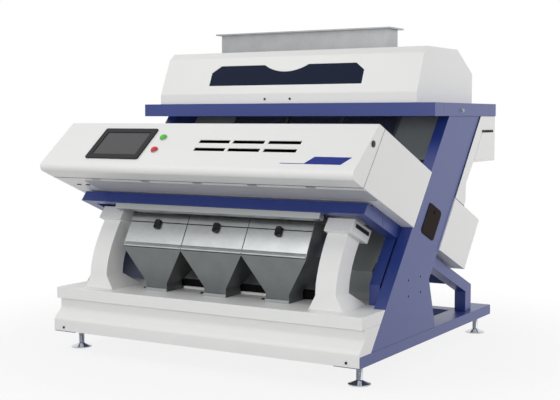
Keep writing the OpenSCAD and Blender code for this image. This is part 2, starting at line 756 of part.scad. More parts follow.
// The funnel's outside, or with a wall t and an overrun e the space inside it
module funnel(x, t, e) {
    n = [x - neck_w / 2 + t, x + neck_w / 2 - t, neck_y + t, neck_y + neck_d - t];
    m = [x - lane / 2 + seat_gap + t, x + lane / 2 - seat_gap - t, bend_y + t, funnel_rear - t];
    frustum(n, m, funnel_z[1], funnel_z[2]);
    block([n[0], n[2], funnel_z[0] - e], [n[1], n[3], funnel_z[1]]);
    block([m[0], m[2], funnel_z[2]], [m[1], m[3], funnel_z[2] + collar_h / 2 + e]);
}
module hopper(x) {
    x0 = x - lane / 2 + seat_gap;
    x1 = x + lane / 2 - seat_gap;
    cheek = [[bend_y, funnel_z[2]], [funnel_rear, funnel_z[2]], hopper_back, hopper_back + 40 * up, header, split, bend];
    difference() {
        union() {
            difference() {
                funnel(x, 0, 0);
                funnel(x, hopper_t, eps);
            }
            for (a = [x0, x1 - hopper_t]) side(a, a + hopper_t) polygon(cheek);
            plate([funnel_rear, funnel_z[2]], hopper_back, hopper_t, x0, x1);
            plate(split + door_dir, header, -hopper_t, x0, x1);
        }
        rod_x(sample_axis, sample_pin_r + 0.02, x0 - eps, x1 + eps);
    }
}
module hoppers() { in_frame() color(steel) for (x = lanes) hopper(x); }
module sample_door(i) {
    x0 = lanes[i] - lane / 2 + cheek_gap;
    x1 = lanes[i] + lane / 2 - cheek_gap;
    in_frame() color(steel) difference() {
        union() {
            plate(bend + 3 * door_dir, split, -hopper_t, x0, x1);
            rod_x(sample_axis, barrel_r, x0, x1);
        }
        rod_x(sample_axis, sample_pin_r + run_gap, x0 - 9, x1 + 9);
    }
}
module sample_door_1() { sample_door(0); }
module sample_door_2() { sample_door(1); }
module sample_door_3() { sample_door(2); }
latch_axis = split - 24 * door_dir + 7 * door_out;
latch_r = 6.6;
module latch(i) {
    x0 = lanes[i] - latch_w / 2;
    in_frame() color(dark) {
        side(x0, x0 + latch_w) polygon([for (k = [[0, -latch_r], [24, -latch_r], [42, -3], [42, 2], [24, latch_r], [0, latch_r]])
            latch_axis + k[0] * door_dir + k[1] * door_out]);
        rod_x(latch_axis, latch_r, x0, x0 + latch_w);
    }
}
module latch_1() { latch(0); }
module latch_2() { latch(1); }
module latch_3() { latch(2); }
trough = [[430, 420], [720, 420], [560, 240], [470, 240]];
trough_half = 640;
guide_top = [655, 610];
trough_tall = [trough[3] - [0, 9], trough[2] - [0, 9], trough[1] + [0, 9], trough[0] + [0, 9]];
module reject_trough() {
    in_frame() color(steel) {
        difference() {
            side(-trough_half, trough_half) polygon([trough[3], trough[2], trough[1], trough[0]]);
            side(hopper_t - trough_half, trough_half - hopper_t) polygon(inset(trough_tall, hopper_t));
        }
        both() plate(trough[0], guide_top, -hopper_t, 1.5 * lane + seat_gap, trough_half);
        both() block([trough_half - hopper_t, trough[1][0] - 30, trough[1][1] - 24], [leg_in, trough[1][0] - 8, trough[1][1] - 4]);
    }
}

// Optics and air
module ejector_bar() {
    p = mid_line(box_z - 40) + 55 * back;
    in_frame() color(grey) at_side(p, lean) block([-leg_in, 0, 0], [leg_in, 60, 40]);
}
tank_half = 420;
tank_r = 45;
tank_lift = 50;
saddle_x = 260;
saddle_w = 40;
saddle_d = 60;
module air_tank() {
    y = cross_ys[1] + cross_rail_w / 2;
    in_frame() color(steel) {
        rod_x([y, rail_top + tank_lift], tank_r, -tank_half, tank_half);
        both() block([saddle_x, y - saddle_d / 2, rail_top], [saddle_x + saddle_w, y + saddle_d / 2, rail_top + tank_r]);
    }
}
module camera_row(floor_p, way) {
    for (x = lanes) at_side(floor_p, -fall) {
        block([x - 35, way > 0 ? 0 : -110, 0], [x + 35, way > 0 ? 110 : 0, 130]);
        translate([x, way * 110, 90]) rotate([-90 * way, 0, 0]) cylinder(r = 26, h = 55);
    }
}
module cameras() {
    in_frame() color(dark) {
        camera_row(seam_low + 130 * back + (sheet + run_gap) * over, 1);
        camera_row(rear_low + 270 * back + (sheet + run_gap) * over, -1);
    }
}
glass_t = 5;
module glass(p, way) {
    side(-slot_half - 12, slot_half + 12) polygon([for (k = [[slot_s[0] - 12, 0], [slot_s[0] - 12, way * glass_t],
        [slot_s[1] + 12, way * glass_t], [slot_s[1] + 12, 0]]) p + k[0] * up + k[1] * left_of(up)]);
}
module viewing_glass() {
    in_frame() color("#b9d6dc", 0.4) {
        glass(box_low + (sheet + run_gap) * left_of(up), 1);
        glass(rear_low - (sheet + run_gap) * left_of(up), -1);
    }
}
module lamps() {
    in_frame() color("#f5f2e6") for (p = [box_low - 150 * back, rear_low + 30 * back])
        at_side(p + (sheet + run_gap) * over, -fall) block([-slot_half, 0, 0], [slot_half, 40, 30]);
}
rail_s = slot_s[0] - 30;
module wiper_rails() {
    in_frame() color(steel) {
        at_side(box_low + rail_s * up, lean) block([-leg_in, 0, -16], [leg_in, 14, -run_gap]);
        at_side(rear_low + rail_s * up, lean) block([-leg_in, 0, run_gap], [leg_in, 14, 16]);
    }
}
wiper_park = slot_half - 10;
wiper_l = slot_s[1] - rail_s - 20;
module wiper_front() {
    in_frame() color(dark) at_side(box_low + rail_s * up, lean)
        block([-wiper_park - 30, 14 + seat_gap, -16], [-wiper_park, wiper_l, -seat_gap]);
}
module wiper_rear() {
    in_frame() color(dark) at_side(rear_low + rail_s * up, lean)
        block([-wiper_park - 30, 14 + seat_gap, seat_gap], [-wiper_park, wiper_l, 16]);
}

// Rear box and housing
rear_pts = [rear_low, rear_seam_low, rear_seam_high, rear_high];
rear_open = [rear_low, rear_seam_low + 20 * back, rear_seam_high + 20 * back, rear_high];
module rear_box() {
    in_frame() color(white) {
        difference() {
            side(-box_w / 2, box_w / 2) polygon(rear_pts);
            side(sheet - box_w / 2, box_w / 2 - sheet) polygon(inset(rear_open, sheet));
            side(-slot_half, slot_half) polygon([for (k = [[slot_s[0], -9], [slot_s[0], 9], [slot_s[1], 9], [slot_s[1], -9]])
                rear_low + k[0] * up + k[1] * back]);
        }
        fixed_knuckles(rear_axis, rear_seam_high, -1);
    }
}
rear_tip_low = rear_low + rear_depth * back;
rear_tip_high = rear_high + rear_depth * back;
rear_door_pts = [rear_seam_low + seam * back, rear_tip_low, rear_tip_high, rear_seam_high + seam * back];
rear_door_open = [rear_seam_low - 20 * back, rear_tip_low, rear_tip_high, rear_seam_high - 20 * back];
module rear_door() {
    in_frame() color(white) {
        difference() {
            side(-box_w / 2, box_w / 2) polygon(rear_door_pts);
            side(sheet - box_w / 2, box_w / 2 - sheet) polygon(inset(rear_door_open, sheet));
        }
        door_knuckles(rear_axis, rear_seam_high, 1);
    }
}
housing_y = leg_rear(housing_z)[0] + 90;
housing_bend_z = 774;
housing_pts = [
    rear_high, rear_high + 120 * back, rear_high + 130 * back + [8, 30], leg_rear(housing_bend_z) + [81, 0], [housing_y, housing_z],
    [beam_rear, housing_z], [beam_rear, beam_z], leg_rear(beam_z)];
housing_open = concat([rear_high - 20 * back], [for (i = [1 : 6]) housing_pts[i]], [leg_rear(beam_z) - [20, 0]]);
module rear_housing() {
    in_frame() color(white) difference() {
        side(-box_w / 2, box_w / 2) polygon(housing_pts);
        side(sheet - box_w / 2, box_w / 2 - sheet) polygon(inset(housing_open, sheet));
    }
}

base_rails();
base_cross_rails();
foot_front_left();
foot_front_right();
foot_rear_left();
foot_rear_right();
foot_nuts();
leg_left();
leg_right();
access_covers();
braces();
rear_cross_tube();
top_beams_cross();
top_beams_side();
hood();
hood_window();
inlet_duct();
feed_bin();
feeder_deck();
feeder_drives();
feeder_tray_1();
feeder_tray_2();
feeder_tray_3();
chutes();
chute_bars();
control_box();
front_door();
screen_bezel();
screen_panel();
start_button();
stop_button();
button_collars();
door_lock();
hinge_pins();
control_boards();
tray_frame();
lamp_bar();
columns();
column_heads();
deck();
base_cover();
hoppers();
sample_door_1();
sample_door_2();
sample_door_3();
latch_1();
latch_2();
latch_3();
reject_trough();
ejector_bar();
air_tank();
cameras();
viewing_glass();
lamps();
wiper_rails();
wiper_front();
wiper_rear();
rear_box();
rear_door();
rear_housing();
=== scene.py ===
# %% [markdown]
# # Dressing a three-chute optical colour sorter
# The machine sorts grain by colour: painted steel boxes hang on two leaning legs, stainless
# hoppers collect the grain below, and a white hood covers the feeders on top. The CAD model is the
# fixed frame. This lesson copies its sheet-metal shapes, softens their folds, adds the fittings that
# catch the eye, and gives each surface a finish that is worked out from the real material. A few
# finishes and black pieces carry painted shade or a painted highlight as well.

# %% Load the frame
import json
import math

import bpy
from mathutils import Matrix, Vector


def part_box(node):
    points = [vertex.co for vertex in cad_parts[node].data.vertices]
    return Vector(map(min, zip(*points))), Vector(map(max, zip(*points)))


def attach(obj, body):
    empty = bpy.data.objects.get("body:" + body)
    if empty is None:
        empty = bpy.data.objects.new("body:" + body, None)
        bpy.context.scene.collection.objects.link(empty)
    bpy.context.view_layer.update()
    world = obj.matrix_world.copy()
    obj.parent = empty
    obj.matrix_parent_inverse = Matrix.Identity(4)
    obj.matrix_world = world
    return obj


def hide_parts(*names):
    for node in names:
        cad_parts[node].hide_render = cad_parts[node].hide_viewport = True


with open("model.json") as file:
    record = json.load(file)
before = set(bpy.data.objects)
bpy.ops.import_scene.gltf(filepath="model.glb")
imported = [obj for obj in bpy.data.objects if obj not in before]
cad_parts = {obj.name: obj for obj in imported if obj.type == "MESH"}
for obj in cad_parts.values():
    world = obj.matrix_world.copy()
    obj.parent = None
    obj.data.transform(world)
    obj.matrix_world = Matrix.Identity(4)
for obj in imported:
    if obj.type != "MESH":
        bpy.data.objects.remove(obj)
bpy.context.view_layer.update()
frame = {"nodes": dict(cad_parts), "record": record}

# %% [markdown]
# ## The side view in numbers
# The sheet-metal boxes are drawn in the side view, in millimetres from the front of the base rails.
# Repeating the few key points here, from the same angles, lets every fitting be placed on the panel
# that carries it. The CAD frame has its origin half-way along the machine, so one shift joins the two.

# %% Key points of the side view
MM = 0.001
LEAN = math.radians(50.1)
FALL = math.radians(22)
UP = Vector((0, math.cos(LEAN), math.sin(LEAN)))
BACK = Vector((0, math.cos(FALL), -math.sin(FALL)))
OVER = Vector((0, math.sin(FALL), math.cos(FALL)))
BEAM_REAR = 1492
SHIFT = BEAM_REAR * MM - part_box("top_beams_cross")[1].y
HALF_W = 800
BOX_HALF = 806
LEG_FOOT_Y = 102
LEG_FOOT_Z = 139
BOX_LOW_Z = 616
BOX_DEPTH = 524
BOX_TALL = 300
NOSE_OUT = 125
BROW_OUT = 55


def at(x, y, z):
    """A point given in millimetres of the side view, in metres of the frame."""
    return Vector((x * MM, y * MM - SHIFT, z * MM))


def leg_front(z):
    """The front edge of the legs at a height."""
    return Vector((0, LEG_FOOT_Y + (z - LEG_FOOT_Z) / math.tan(LEAN), z))


seam_low = leg_front(BOX_LOW_Z) - BOX_DEPTH * BACK
seam_high = seam_low + BOX_TALL * UP
nose_tip = seam_low - NOSE_OUT * BACK
door_brow = seam_high - BROW_OUT * BACK
face_run = (door_brow - nose_tip).normalized()
face_out = Vector((0, -face_run.z, face_run.y))
FACE_ANGLE = math.atan2(face_run.z, face_run.y)
print("face angle", round(math.degrees(FACE_ANGLE), 2), "shift", round(SHIFT, 4))

# %% [markdown]
# ## Camera
# The camera was solved from the straight edges of the machine: it stands to the right of the front,
# a little above the middle, and looks slightly down. Depth of field stays off.

# %% Camera
camera_data = bpy.data.cameras.new("photo_camera")
camera_data.sensor_width = 36
camera_data.lens = 71.42
camera = bpy.data.objects.new("photo_camera", camera_data)
camera.location = at(2756, -3892, 1087)
camera.rotation_euler = (math.radians(85.78), 0, math.radians(30.84))
bpy.context.scene.collection.objects.link(camera)
bpy.context.scene.camera = camera
bpy.context.scene.view_settings.view_transform = "Standard"
print("camera at", tuple(round(v, 3) for v in camera.location))

# %% [markdown]
# ## Colours and nodes
# Colours are written as the hex values that a colour picker shows. Blender works in linear light, so
# one function converts them. One small helper adds a shader node with its settings and its links.

# %% Colour and node helpers


def colour(code, alpha=1.0):
    """An sRGB hex colour as linear RGBA."""
    parts = [int(code[i:i + 2], 16) / 255 for i in (1, 3, 5)]
    return tuple(p / 12.92 if p <= 0.04045 else ((p + 0.055) / 1.055) ** 2.4 for p in parts) + (alpha,)


def add_node(tree, kind, inputs=None, **settings):
    """Add a node; an input that is given a socket is linked, and any other value is set."""
    node = tree.nodes.new(kind)
    for name, value in settings.items():
        setattr(node, name, value)
    for name, value in (inputs or {}).items():
        if isinstance(value, bpy.types.NodeSocket):
            tree.links.new(value, node.inputs[name])
        else:
            node.inputs[name].default_value = value
    return node


def start_finish(name, **sockets):
    """A new material with its shader's constant sockets set; returns material, tree and shader."""
    material = bpy.data.materials.new(name)
    material.use_nodes = True
    shader = material.node_tree.nodes["Principled BSDF"]
    for socket, value in sockets.items():
        shader.inputs[socket.replace("_", " ")].default_value = value
    return material, material.node_tree, shader


# %% [markdown]
# ## Studio
# The machine stands on a plain pale floor against white. The world is white for the rays that see it
# directly, by mirror or through glass, and a plain grey level for the light that it sheds. The floor
# keeps the machine's shadow, and fades to that white at a distance of 1 to 2 m. A broad lamp above lights
# the tops, one in front fills in under the box, and one at the right rear puts a sheen on the right-hand
# sides.

# %% World
SHED_LIGHT = 0.5


def rays_that_see(tree):
    """A factor of 1 for rays that see a thing directly, by mirror or through glass, and 0 for others."""
    path = add_node(tree, "ShaderNodeLightPath").outputs
    seen = add_node(tree, "ShaderNodeMath", {0: path["Is Camera Ray"], 1: path["Is Glossy Ray"]},
                    operation="ADD")
    seen = add_node(tree, "ShaderNodeMath", {0: seen.outputs[0], 1: path["Is Transmission Ray"]},
                    operation="ADD", use_clamp=True)
    return seen.outputs[0]


world = bpy.data.worlds.new("studio")
bpy.context.scene.world = world
world.use_nodes = True
sky = world.node_tree
strength = add_node(sky, "ShaderNodeMapRange", {"Value": rays_that_see(sky), "To Min": SHED_LIGHT,
                                                "To Max": 1.0})
background = sky.nodes["Background"]
background.inputs["Color"].default_value = colour("#ffffff")
sky.links.new(strength.outputs["Result"], background.inputs["Strength"])
print("world:", world.name)

# %% Floor
FLOOR_GLOW = 0.86
FADE_FROM = 1.0
FADE_TO = 2.2
bpy.ops.object.select_all(action="DESELECT")
bpy.ops.mesh.primitive_plane_add(size=60, location=(0, 0, 0))
floor = bpy.context.active_object
floor.name = "floor"
floor_paint, tree, shader = start_finish("pale_studio_floor", Base_Color=colour("#c8c8c8"), Roughness=0.9)
seen = rays_that_see(tree)
lit = add_node(tree, "ShaderNodeMath", {0: seen, 1: FLOOR_GLOW}, operation="MULTIPLY")
glow = add_node(tree, "ShaderNodeEmission", {"Color": colour("#ffffff"), "Strength": 1.0})
blend = add_node(tree, "ShaderNodeMixShader", {0: lit.outputs[0], 1: shader.outputs[0], 2: glow.outputs[0]})
place = add_node(tree, "ShaderNodeTexCoord").outputs["Object"]
reach = add_node(tree, "ShaderNodeVectorMath", {0: place}, operation="LENGTH")
fade = add_node(tree, "ShaderNodeMapRange", {"Value": reach.outputs["Value"], "From Min": FADE_FROM,
                                             "From Max": FADE_TO}, interpolation_type="SMOOTHSTEP")
away = add_node(tree, "ShaderNodeMath", {0: fade.outputs["Result"], 1: seen}, operation="MULTIPLY")
clear = add_node(tree, "ShaderNodeBsdfTransparent")
whole = add_node(tree, "ShaderNodeMixShader", {0: away.outputs[0], 1: blend.outputs[0], 2: clear.outputs[0]})
tree.links.new(whole.outputs[0], tree.nodes["Material Output"].inputs["Surface"])
floor.data.materials.append(floor_paint)
print("floor:", floor_paint.name)

# %% Lamps


def add_lamp(name, place, aim, size, power):
    """A soft rectangular lamp at a place, turned towards a point."""
    data = bpy.data.lights.new(name, "AREA")
    data.shape = "RECTANGLE"
    data.size, data.size_y = size
    data.energy = power
    lamp = bpy.data.objects.new(name, data)
    lamp.location = place
    lamp.rotation_euler = (Vector(aim) - Vector(place)).to_track_quat("-Z", "Y").to_euler()
    bpy.context.scene.collection.objects.link(lamp)


add_lamp("overhead_lamp", (-1.5, -2.5, 4.2), (0, -0.1, 0.8), (3.2, 2.4), 46)
add_lamp("front_lamp", (0.9, -5.2, 1.7), (0, -0.3, 0.5), (3.0, 1.4), 60)
add_lamp("right_rear_lamp", (4.4, 1.8, 1.8), (0.6, 0, 0.7), (3.0, 2.4), 55)
print("lamps:", len(bpy.data.lights))

# %% [markdown]
# ## Finishes
# Nearly all of the machine is mild steel sheet with a baked powder coat. Powder flows into a skin with
# a faint orange peel, about 2 mm from crest to crest, and a satin gloss. The grain-carrying parts are
# stainless steel with a brushed grain. Each finish below starts from such facts.

# %% Powder coats


def add_texture(tree, shader, shades, tone, pattern, gloss, depth, distance):
    """Let a factor blend two shades, and let a pattern vary the roughness and raise small bumps."""
    blend = add_node(tree, "ShaderNodeMix", {"Factor": tone, "A": shades[0], "B": shades[1]},
                     data_type="RGBA")
    tree.links.new(blend.outputs["Result"], shader.inputs["Base Color"])
    rough = add_node(tree, "ShaderNodeMapRange", {"Value": pattern, "To Min": gloss[0], "To Max": gloss[1]})
    tree.links.new(rough.outputs["Result"], shader.inputs["Roughness"])
    bump = add_node(tree, "ShaderNodeBump", {"Strength": depth, "Distance": distance, "Height": pattern})
    tree.links.new(bump.outputs["Normal"], shader.inputs["Normal"])


def two_shades(code, share):
    """A colour and its darker shade, the darker one first."""
    base = colour(code)
    return tuple(c * share for c in base[:3]) + (1.0,), base


def powder_coat(name, code, shade, roughness, clear, peel=0.06):
    """Baked powder coat on steel: satin, orange peel about 2 mm, very slight change of tone."""
    material, tree, shader = start_finish(name, IOR=1.5, Specular_IOR_Level=0.45, Coat_Weight=clear,
                                          Coat_Roughness=0.35)
    place = add_node(tree, "ShaderNodeTexCoord").outputs["Object"]
    drift = add_node(tree, "ShaderNodeTexNoise", {"Vector": place, "Scale": 3.5, "Detail": 3.0})
    grit = add_node(tree, "ShaderNodeTexNoise", {"Vector": place, "Scale": 500.0, "Detail": 2.0})
    add_texture(tree, shader, (colour(code), colour(shade)), drift.outputs["Fac"], grit.outputs["Fac"],
                (roughness - 0.05, roughness + 0.06), peel, 0.5 * MM)
    return material


blue_coat = powder_coat("blue_powder_coated_steel", "#253a84", "#22367c", 0.42, 0.45)
white_coat = powder_coat("white_powder_coated_steel", "#efefee", "#ebebea", 0.36, 0.0)
# The grey coat is the white paint drawn in its shade under the box: painted shade.
shade_grey_coat = powder_coat("grey_coat_of_painted_shade", "#b6b7ba", "#b0b1b4", 0.5, 0.0)
print("coats:", blue_coat.name, white_coat.name, shade_grey_coat.name)

# %% [markdown]
# Stainless sheet is brushed by a belt, so its grain runs one way: noise that is stretched along one axis
# gives that. Real streaks are too fine to show here, so they are drawn 2 to 5 mm apart. Plated, cast and
# blasted metal has no direction, only a mottle, which is drawn 1 to 8 mm coarse.

# %% Metals


def brushed_steel(name, code, stretch, roughness, depth=0.08):
    """Stainless sheet with a brushed grain: streaks that are long along the belt's way."""
    material, tree, shader = start_finish(name, Metallic=1.0)
    place = add_node(tree, "ShaderNodeTexCoord").outputs["Object"]
    along = add_node(tree, "ShaderNodeMapping", {"Vector": place, "Scale": stretch})
    grain = add_node(tree, "ShaderNodeTexNoise", {"Vector": along.outputs[0], "Scale": 1.0, "Detail": 4.0})
    cloud = add_node(tree, "ShaderNodeTexNoise", {"Vector": place, "Scale": 14.0, "Detail": 3.0})
    both = add_node(tree, "ShaderNodeMath", {0: grain.outputs["Fac"], 1: cloud.outputs["Fac"]},
                    operation="MULTIPLY")
    spread = add_node(tree, "ShaderNodeMapRange", {"Value": both.outputs[0], "From Min": 0.1,
                                                   "From Max": 0.45})
    add_texture(tree, shader, two_shades(code, 0.82), spread.outputs["Result"], grain.outputs["Fac"],
                (roughness - 0.08, roughness + 0.10), depth, 0.4 * MM)
    return material


hopper_steel = brushed_steel("brushed_stainless_sheet", "#bec1c1", (40.0, 420.0, 420.0), 0.3)
# The funnels' stainless is drawn darker than the hoppers': painted shade, and a painted reflection of the
# dark deck.
shaded_funnel_steel = brushed_steel("stainless_with_painted_shade", "#7e8282", (420.0, 60.0, 60.0), 0.5)
duct_steel = brushed_steel("rolled_stainless_duct", "#a9abad", (60.0, 300.0, 300.0), 0.42)
chute_steel = brushed_steel("polished_stainless_chute", "#b4b9b9", (200.0, 20.0, 20.0), 0.4)


def plain_metal(name, code, roughness, scale=300.0, bumps=0.05):
    """Plated, cast or blasted metal: a mottle from its finish, with no direction."""
    material, tree, shader = start_finish(name, Metallic=1.0)
    place = add_node(tree, "ShaderNodeTexCoord").outputs["Object"]
    mottle = add_node(tree, "ShaderNodeTexNoise", {"Vector": place, "Scale": scale, "Detail": 3.0})
    add_texture(tree, shader, two_shades(code, 0.85), mottle.outputs["Fac"], mottle.outputs["Fac"],
                (roughness * 0.8, roughness * 1.25), bumps, 0.3 * MM)
    return material


foot_chrome = plain_metal("chrome_plated_foot", "#d4d7da", 0.14, 120.0)
zinc = plain_metal("zinc_plated_fastener", "#b9bcbd", 0.3)
cast_iron = plain_metal("painted_cast_iron", "#6c6e6d", 0.55, 700.0, 0.2)
aluminium = plain_metal("bead_blasted_aluminium", "#aeb1b2", 0.42, 900.0, 0.1)
print("metals ready")

# %% [markdown]
# Plastic takes the spark-eroded skin of its mould: small pits, about 1 mm apart, that dull its gloss.
# Rubber, and the black slab behind the vents, are coarser and duller, and lenses and panes smoother. That
# slab's black is painted shade. The smoked window lets little light through. Old galvanised sheet is dulled
# by its zinc salts, so it is drawn in the same way, with a little metal in it.

# %% Plastics and glass


def moulded(name, code, roughness, scale=900.0, depth=0.12, **more):
    """Moulded plastic: a spark-eroded texture about 1 mm coarse, and a slight change of tone."""
    material, tree, shader = start_finish(name, IOR=1.53, **more)
    place = add_node(tree, "ShaderNodeTexCoord").outputs["Object"]
    pit = add_node(tree, "ShaderNodeTexNoise", {"Vector": place, "Scale": scale, "Detail": 2.0})
    add_texture(tree, shader, two_shades(code, 0.88), pit.outputs["Fac"], pit.outputs["Fac"],
                (roughness - 0.04, roughness + 0.05), depth, 0.3 * MM)
    return material


bezel_abs = moulded("dark_grey_abs", "#262628", 0.5, Specular_IOR_Level=0.15)
black_nylon = moulded("black_glass_filled_nylon", "#0c0c0d", 0.4, Specular_IOR_Level=0.3)
# Black for the slab behind the vents: painted shade, the shade inside the door.
vent_shade_black = moulded("black_vent_shade", "#050505", 0.95, 400.0, 0.5, Specular_IOR_Level=0.0)
cover_brown = moulded("dark_brown_enamel", "#241b17", 0.75, 300.0, 0.05, Specular_IOR_Level=0.08)
start_green = moulded("green_polycarbonate_lens", "#44c81e", 0.25, 500.0, 0.02, Specular_IOR_Level=0.3)
stop_red = moulded("red_polycarbonate_lens", "#d81c2a", 0.25, 500.0, 0.02, Specular_IOR_Level=0.3)
screen_glass = moulded("matt_display_glass", "#525254", 0.3, 60.0, 0.0, Specular_IOR_Level=0.15)
stripe_vinyl = moulded("blue_vinyl_film", "#22338c", 0.4, 250.0, 0.03, Specular_IOR_Level=0.12)
seal_rubber = moulded("black_seal_rubber", "#121212", 0.8, 300.0, 0.2, Specular_IOR_Level=0.1)
lamp_opal = moulded("opal_acrylic", "#f3f0e4", 0.3, 200.0, 0.02)
board_green = moulded("green_circuit_board", "#2f5f40", 0.5)
smoked_acrylic = moulded("smoked_blue_acrylic", "#061734", 0.06, 30.0, 0.0, Transmission_Weight=0.06,
                         Specular_IOR_Level=0.03)
galvanised = moulded("spangled_galvanised_sheet", "#a9aeae", 0.5, 45.0, 0.03, Metallic=0.2)
clear_glass, tree, shader = start_finish("clear_viewing_glass", Base_Color=colour("#dfeeee"),
                                         Roughness=0.03, IOR=1.5, Transmission_Weight=0.9)
print("plastics and glass ready")

# %% [markdown]
# ## Softening the CAD shapes
# Real folded sheet has a small radius at each bend, and box tube a larger one. A CAD node ends in
# razor-sharp edges. So a copy of the node's mesh is merged, its flat faces are joined, and a bevel
# of the bend's own radius rounds each sharp edge. Beside a narrow face, such as the cut edge of a
# sheet, the bevel is made smaller through the edge's weight. The copy then stands for the node.

# %% Copying a node


def only(piece):
    """Select one object, and nothing else."""
    bpy.ops.object.select_all(action="DESELECT")
    piece.select_set(True)
    bpy.context.view_layer.objects.active = piece


def copy_of(node, name):
    """A merged copy of a CAD node's mesh, with its flat faces joined."""
    piece = bpy.data.objects.new(name, frame["nodes"][node].data.copy())
    piece.data.name = name
    bpy.context.scene.collection.objects.link(piece)
    only(piece)
    bpy.ops.object.mode_set(mode="EDIT")
    bpy.ops.mesh.select_all(action="SELECT")
    bpy.ops.mesh.remove_doubles(threshold=0.00002)
    bpy.ops.mesh.dissolve_limited(angle_limit=math.radians(0.5))
    bpy.ops.object.mode_set(mode="OBJECT")
    return piece

# %% Rounding the sharp edges


def face_width(face, mesh):
    """Roughly how wide a face is: its area over its longest edge."""
    points = mesh.vertices
    return face.area / max((points[a].co - points[b].co).length for a, b in face.edge_keys)


def soften(piece, radius, segments=3, angle=15):
    """Round each sharp edge by the radius, or by a third of the narrower face beside it."""
    only(piece)
    mesh = piece.data
    beside = {}
    for face in mesh.polygons:
        for key in face.edge_keys:
            beside.setdefault(key, []).append(face)
    weights = mesh.attributes.new("bevel_weight_edge", "FLOAT", "EDGE")
    for edge in mesh.edges:
        faces = beside.get(edge.key, [])
        if len(faces) == 2 and faces[0].normal.angle(faces[1].normal, 0) > math.radians(angle):
            narrow = min(face_width(face, mesh) for face in faces)
            weights.data[edge.index].value = min(1, narrow / (3 * radius))
    bevel = piece.modifiers.new("bend", "BEVEL")
    bevel.width = radius
    bevel.segments = segments
    bevel.limit_method = "WEIGHT"
    bpy.ops.object.modifier_apply(modifier="bend")
    mesh.attributes.remove(mesh.attributes["bevel_weight_edge"])
    bpy.ops.object.shade_smooth_by_angle(angle=math.radians(30))
    flat = piece.modifiers.new("flat_panels", "WEIGHTED_NORMAL")
    flat.keep_sharp = True
    bpy.ops.object.modifier_apply(modifier="flat_panels")

# %% Standing in for a node


def paint(piece, material):
    """Give a piece its one finish."""
    piece.data.materials.clear()
    piece.data.materials.append(material)


BODY_OF = {node: body for body, nodes in frame["record"]["behaviour"]["bodies"].items() for node in nodes}


def dress(node, material, radius):
    """Copy, soften and paint a node, and let the copy stand for it."""
    piece = copy_of(node, node + "_skin")
    soften(piece, radius * MM)
    paint(piece, material)
    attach(piece, BODY_OF[node])
    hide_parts(node)
    return piece


# %% Sheet metal, tubes and inner parts
DRESSED = [
    (blue_coat, "blue_paint", 4.0, ["base_rails", "base_cross_rails", "rear_cross_tube", "top_beams_cross",
                                    "top_beams_side", "feeder_deck"]),
    (blue_coat, "blue_paint", 2.5, ["leg_left", "leg_right", "braces", "tray_frame"]),
    (white_coat, "white_paint", 3.0, ["hood", "control_box", "column_heads", "deck", "base_cover", "columns",
                                      "rear_housing"]),
    (white_coat, "white_paint", 1.5, ["front_door", "rear_box", "rear_door"]),
    (duct_steel, "galvanised", 1.0, ["inlet_duct"]),
    (hopper_steel, "stainless", 0.8, ["hoppers", "sample_door_1", "sample_door_2", "sample_door_3"]),
    (chute_steel, "stainless", 0.8, ["feed_bin", "chutes", "feeder_tray_1", "feeder_tray_2", "feeder_tray_3",
                                     "wiper_rails"]),
    (galvanised, "stainless", 0.8, ["reject_trough"]),
    (galvanised, "galvanised", 1.0, ["chute_bars"]),
    (aluminium, "galvanised", 2.0, ["lamp_bar", "ejector_bar", "air_tank"]),
    (cast_iron, "drive_iron", 4.0, ["feeder_drives"]),
    (black_nylon, "black_plastic", 2.0, ["cameras", "wiper_front", "wiper_rear"]),
    (aluminium, "board", 2.0, ["control_boards"]),
    (lamp_opal, "lamp", 3.0, ["lamps"]),
    (clear_glass, "clear_glass", 0.8, ["viewing_glass"]),
    (zinc, "plated", 0.6, ["hinge_pins", "foot_nuts"]),
    (screen_glass, "screen", 1.0, ["screen_panel"]),
    (smoked_acrylic, "tinted_window", 1.0, ["hood_window"]),
]
skins = {}
for material, slot, radius, nodes in DRESSED:
    for node in nodes:
        skins[node] = dress(node, material, radius)
print("dressed", len(skins), "nodes")

# %% [markdown]
# The funnels below the sampling doors take the same stainless drawn darker and rougher, while the doors and
# the headers are brushed bright. The darker colour is painted shade, with a painted reflection of the dark
# deck.
# Both are one welded piece, so its lower faces take this second, shaded finish.

# %% Funnels with painted shade
BEND_Z = 506
funnels = skins["hoppers"].data
funnels.materials.append(shaded_funnel_steel)
for face in funnels.polygons:
    face.material_index = int(face.center.z / MM < BEND_Z - 1)
print("shaded faces:", sum(face.material_index for face in funnels.polygons))

# %% [markdown]
# ## Modelling small fittings
# Each fitting starts as a primitive at the origin, lying flat, with its front up the Z axis. It is
# shaped there by edit-mode operators, with faces and edges chosen by their place. Then it is turned
# on to its panel, moved to its place, and the turn and move are applied to the mesh.

# %% Blanks


def new_block(name, size):
    """A block of a size in millimetres, standing on Z = 0."""
    bpy.ops.object.select_all(action="DESELECT")
    bpy.ops.mesh.primitive_cube_add(size=1, location=(0, 0, 0.5 * size[2] * MM))
    piece = bpy.context.active_object
    piece.name = name
    piece.scale = Vector(size) * MM
    bpy.ops.object.transform_apply(location=True, rotation=True, scale=True)
    return piece


def new_disc(name, radius, height, sides=40):
    """A round blank of a size in millimetres, standing on Z = 0."""
    bpy.ops.object.select_all(action="DESELECT")
    bpy.ops.mesh.primitive_cylinder_add(vertices=sides, radius=radius * MM, depth=height * MM,
                                        location=(0, 0, 0.5 * height * MM))
    piece = bpy.context.active_object
    piece.name = name
    bpy.ops.object.transform_apply(location=True, rotation=True, scale=True)
    return piece

# %% Picking and shaping


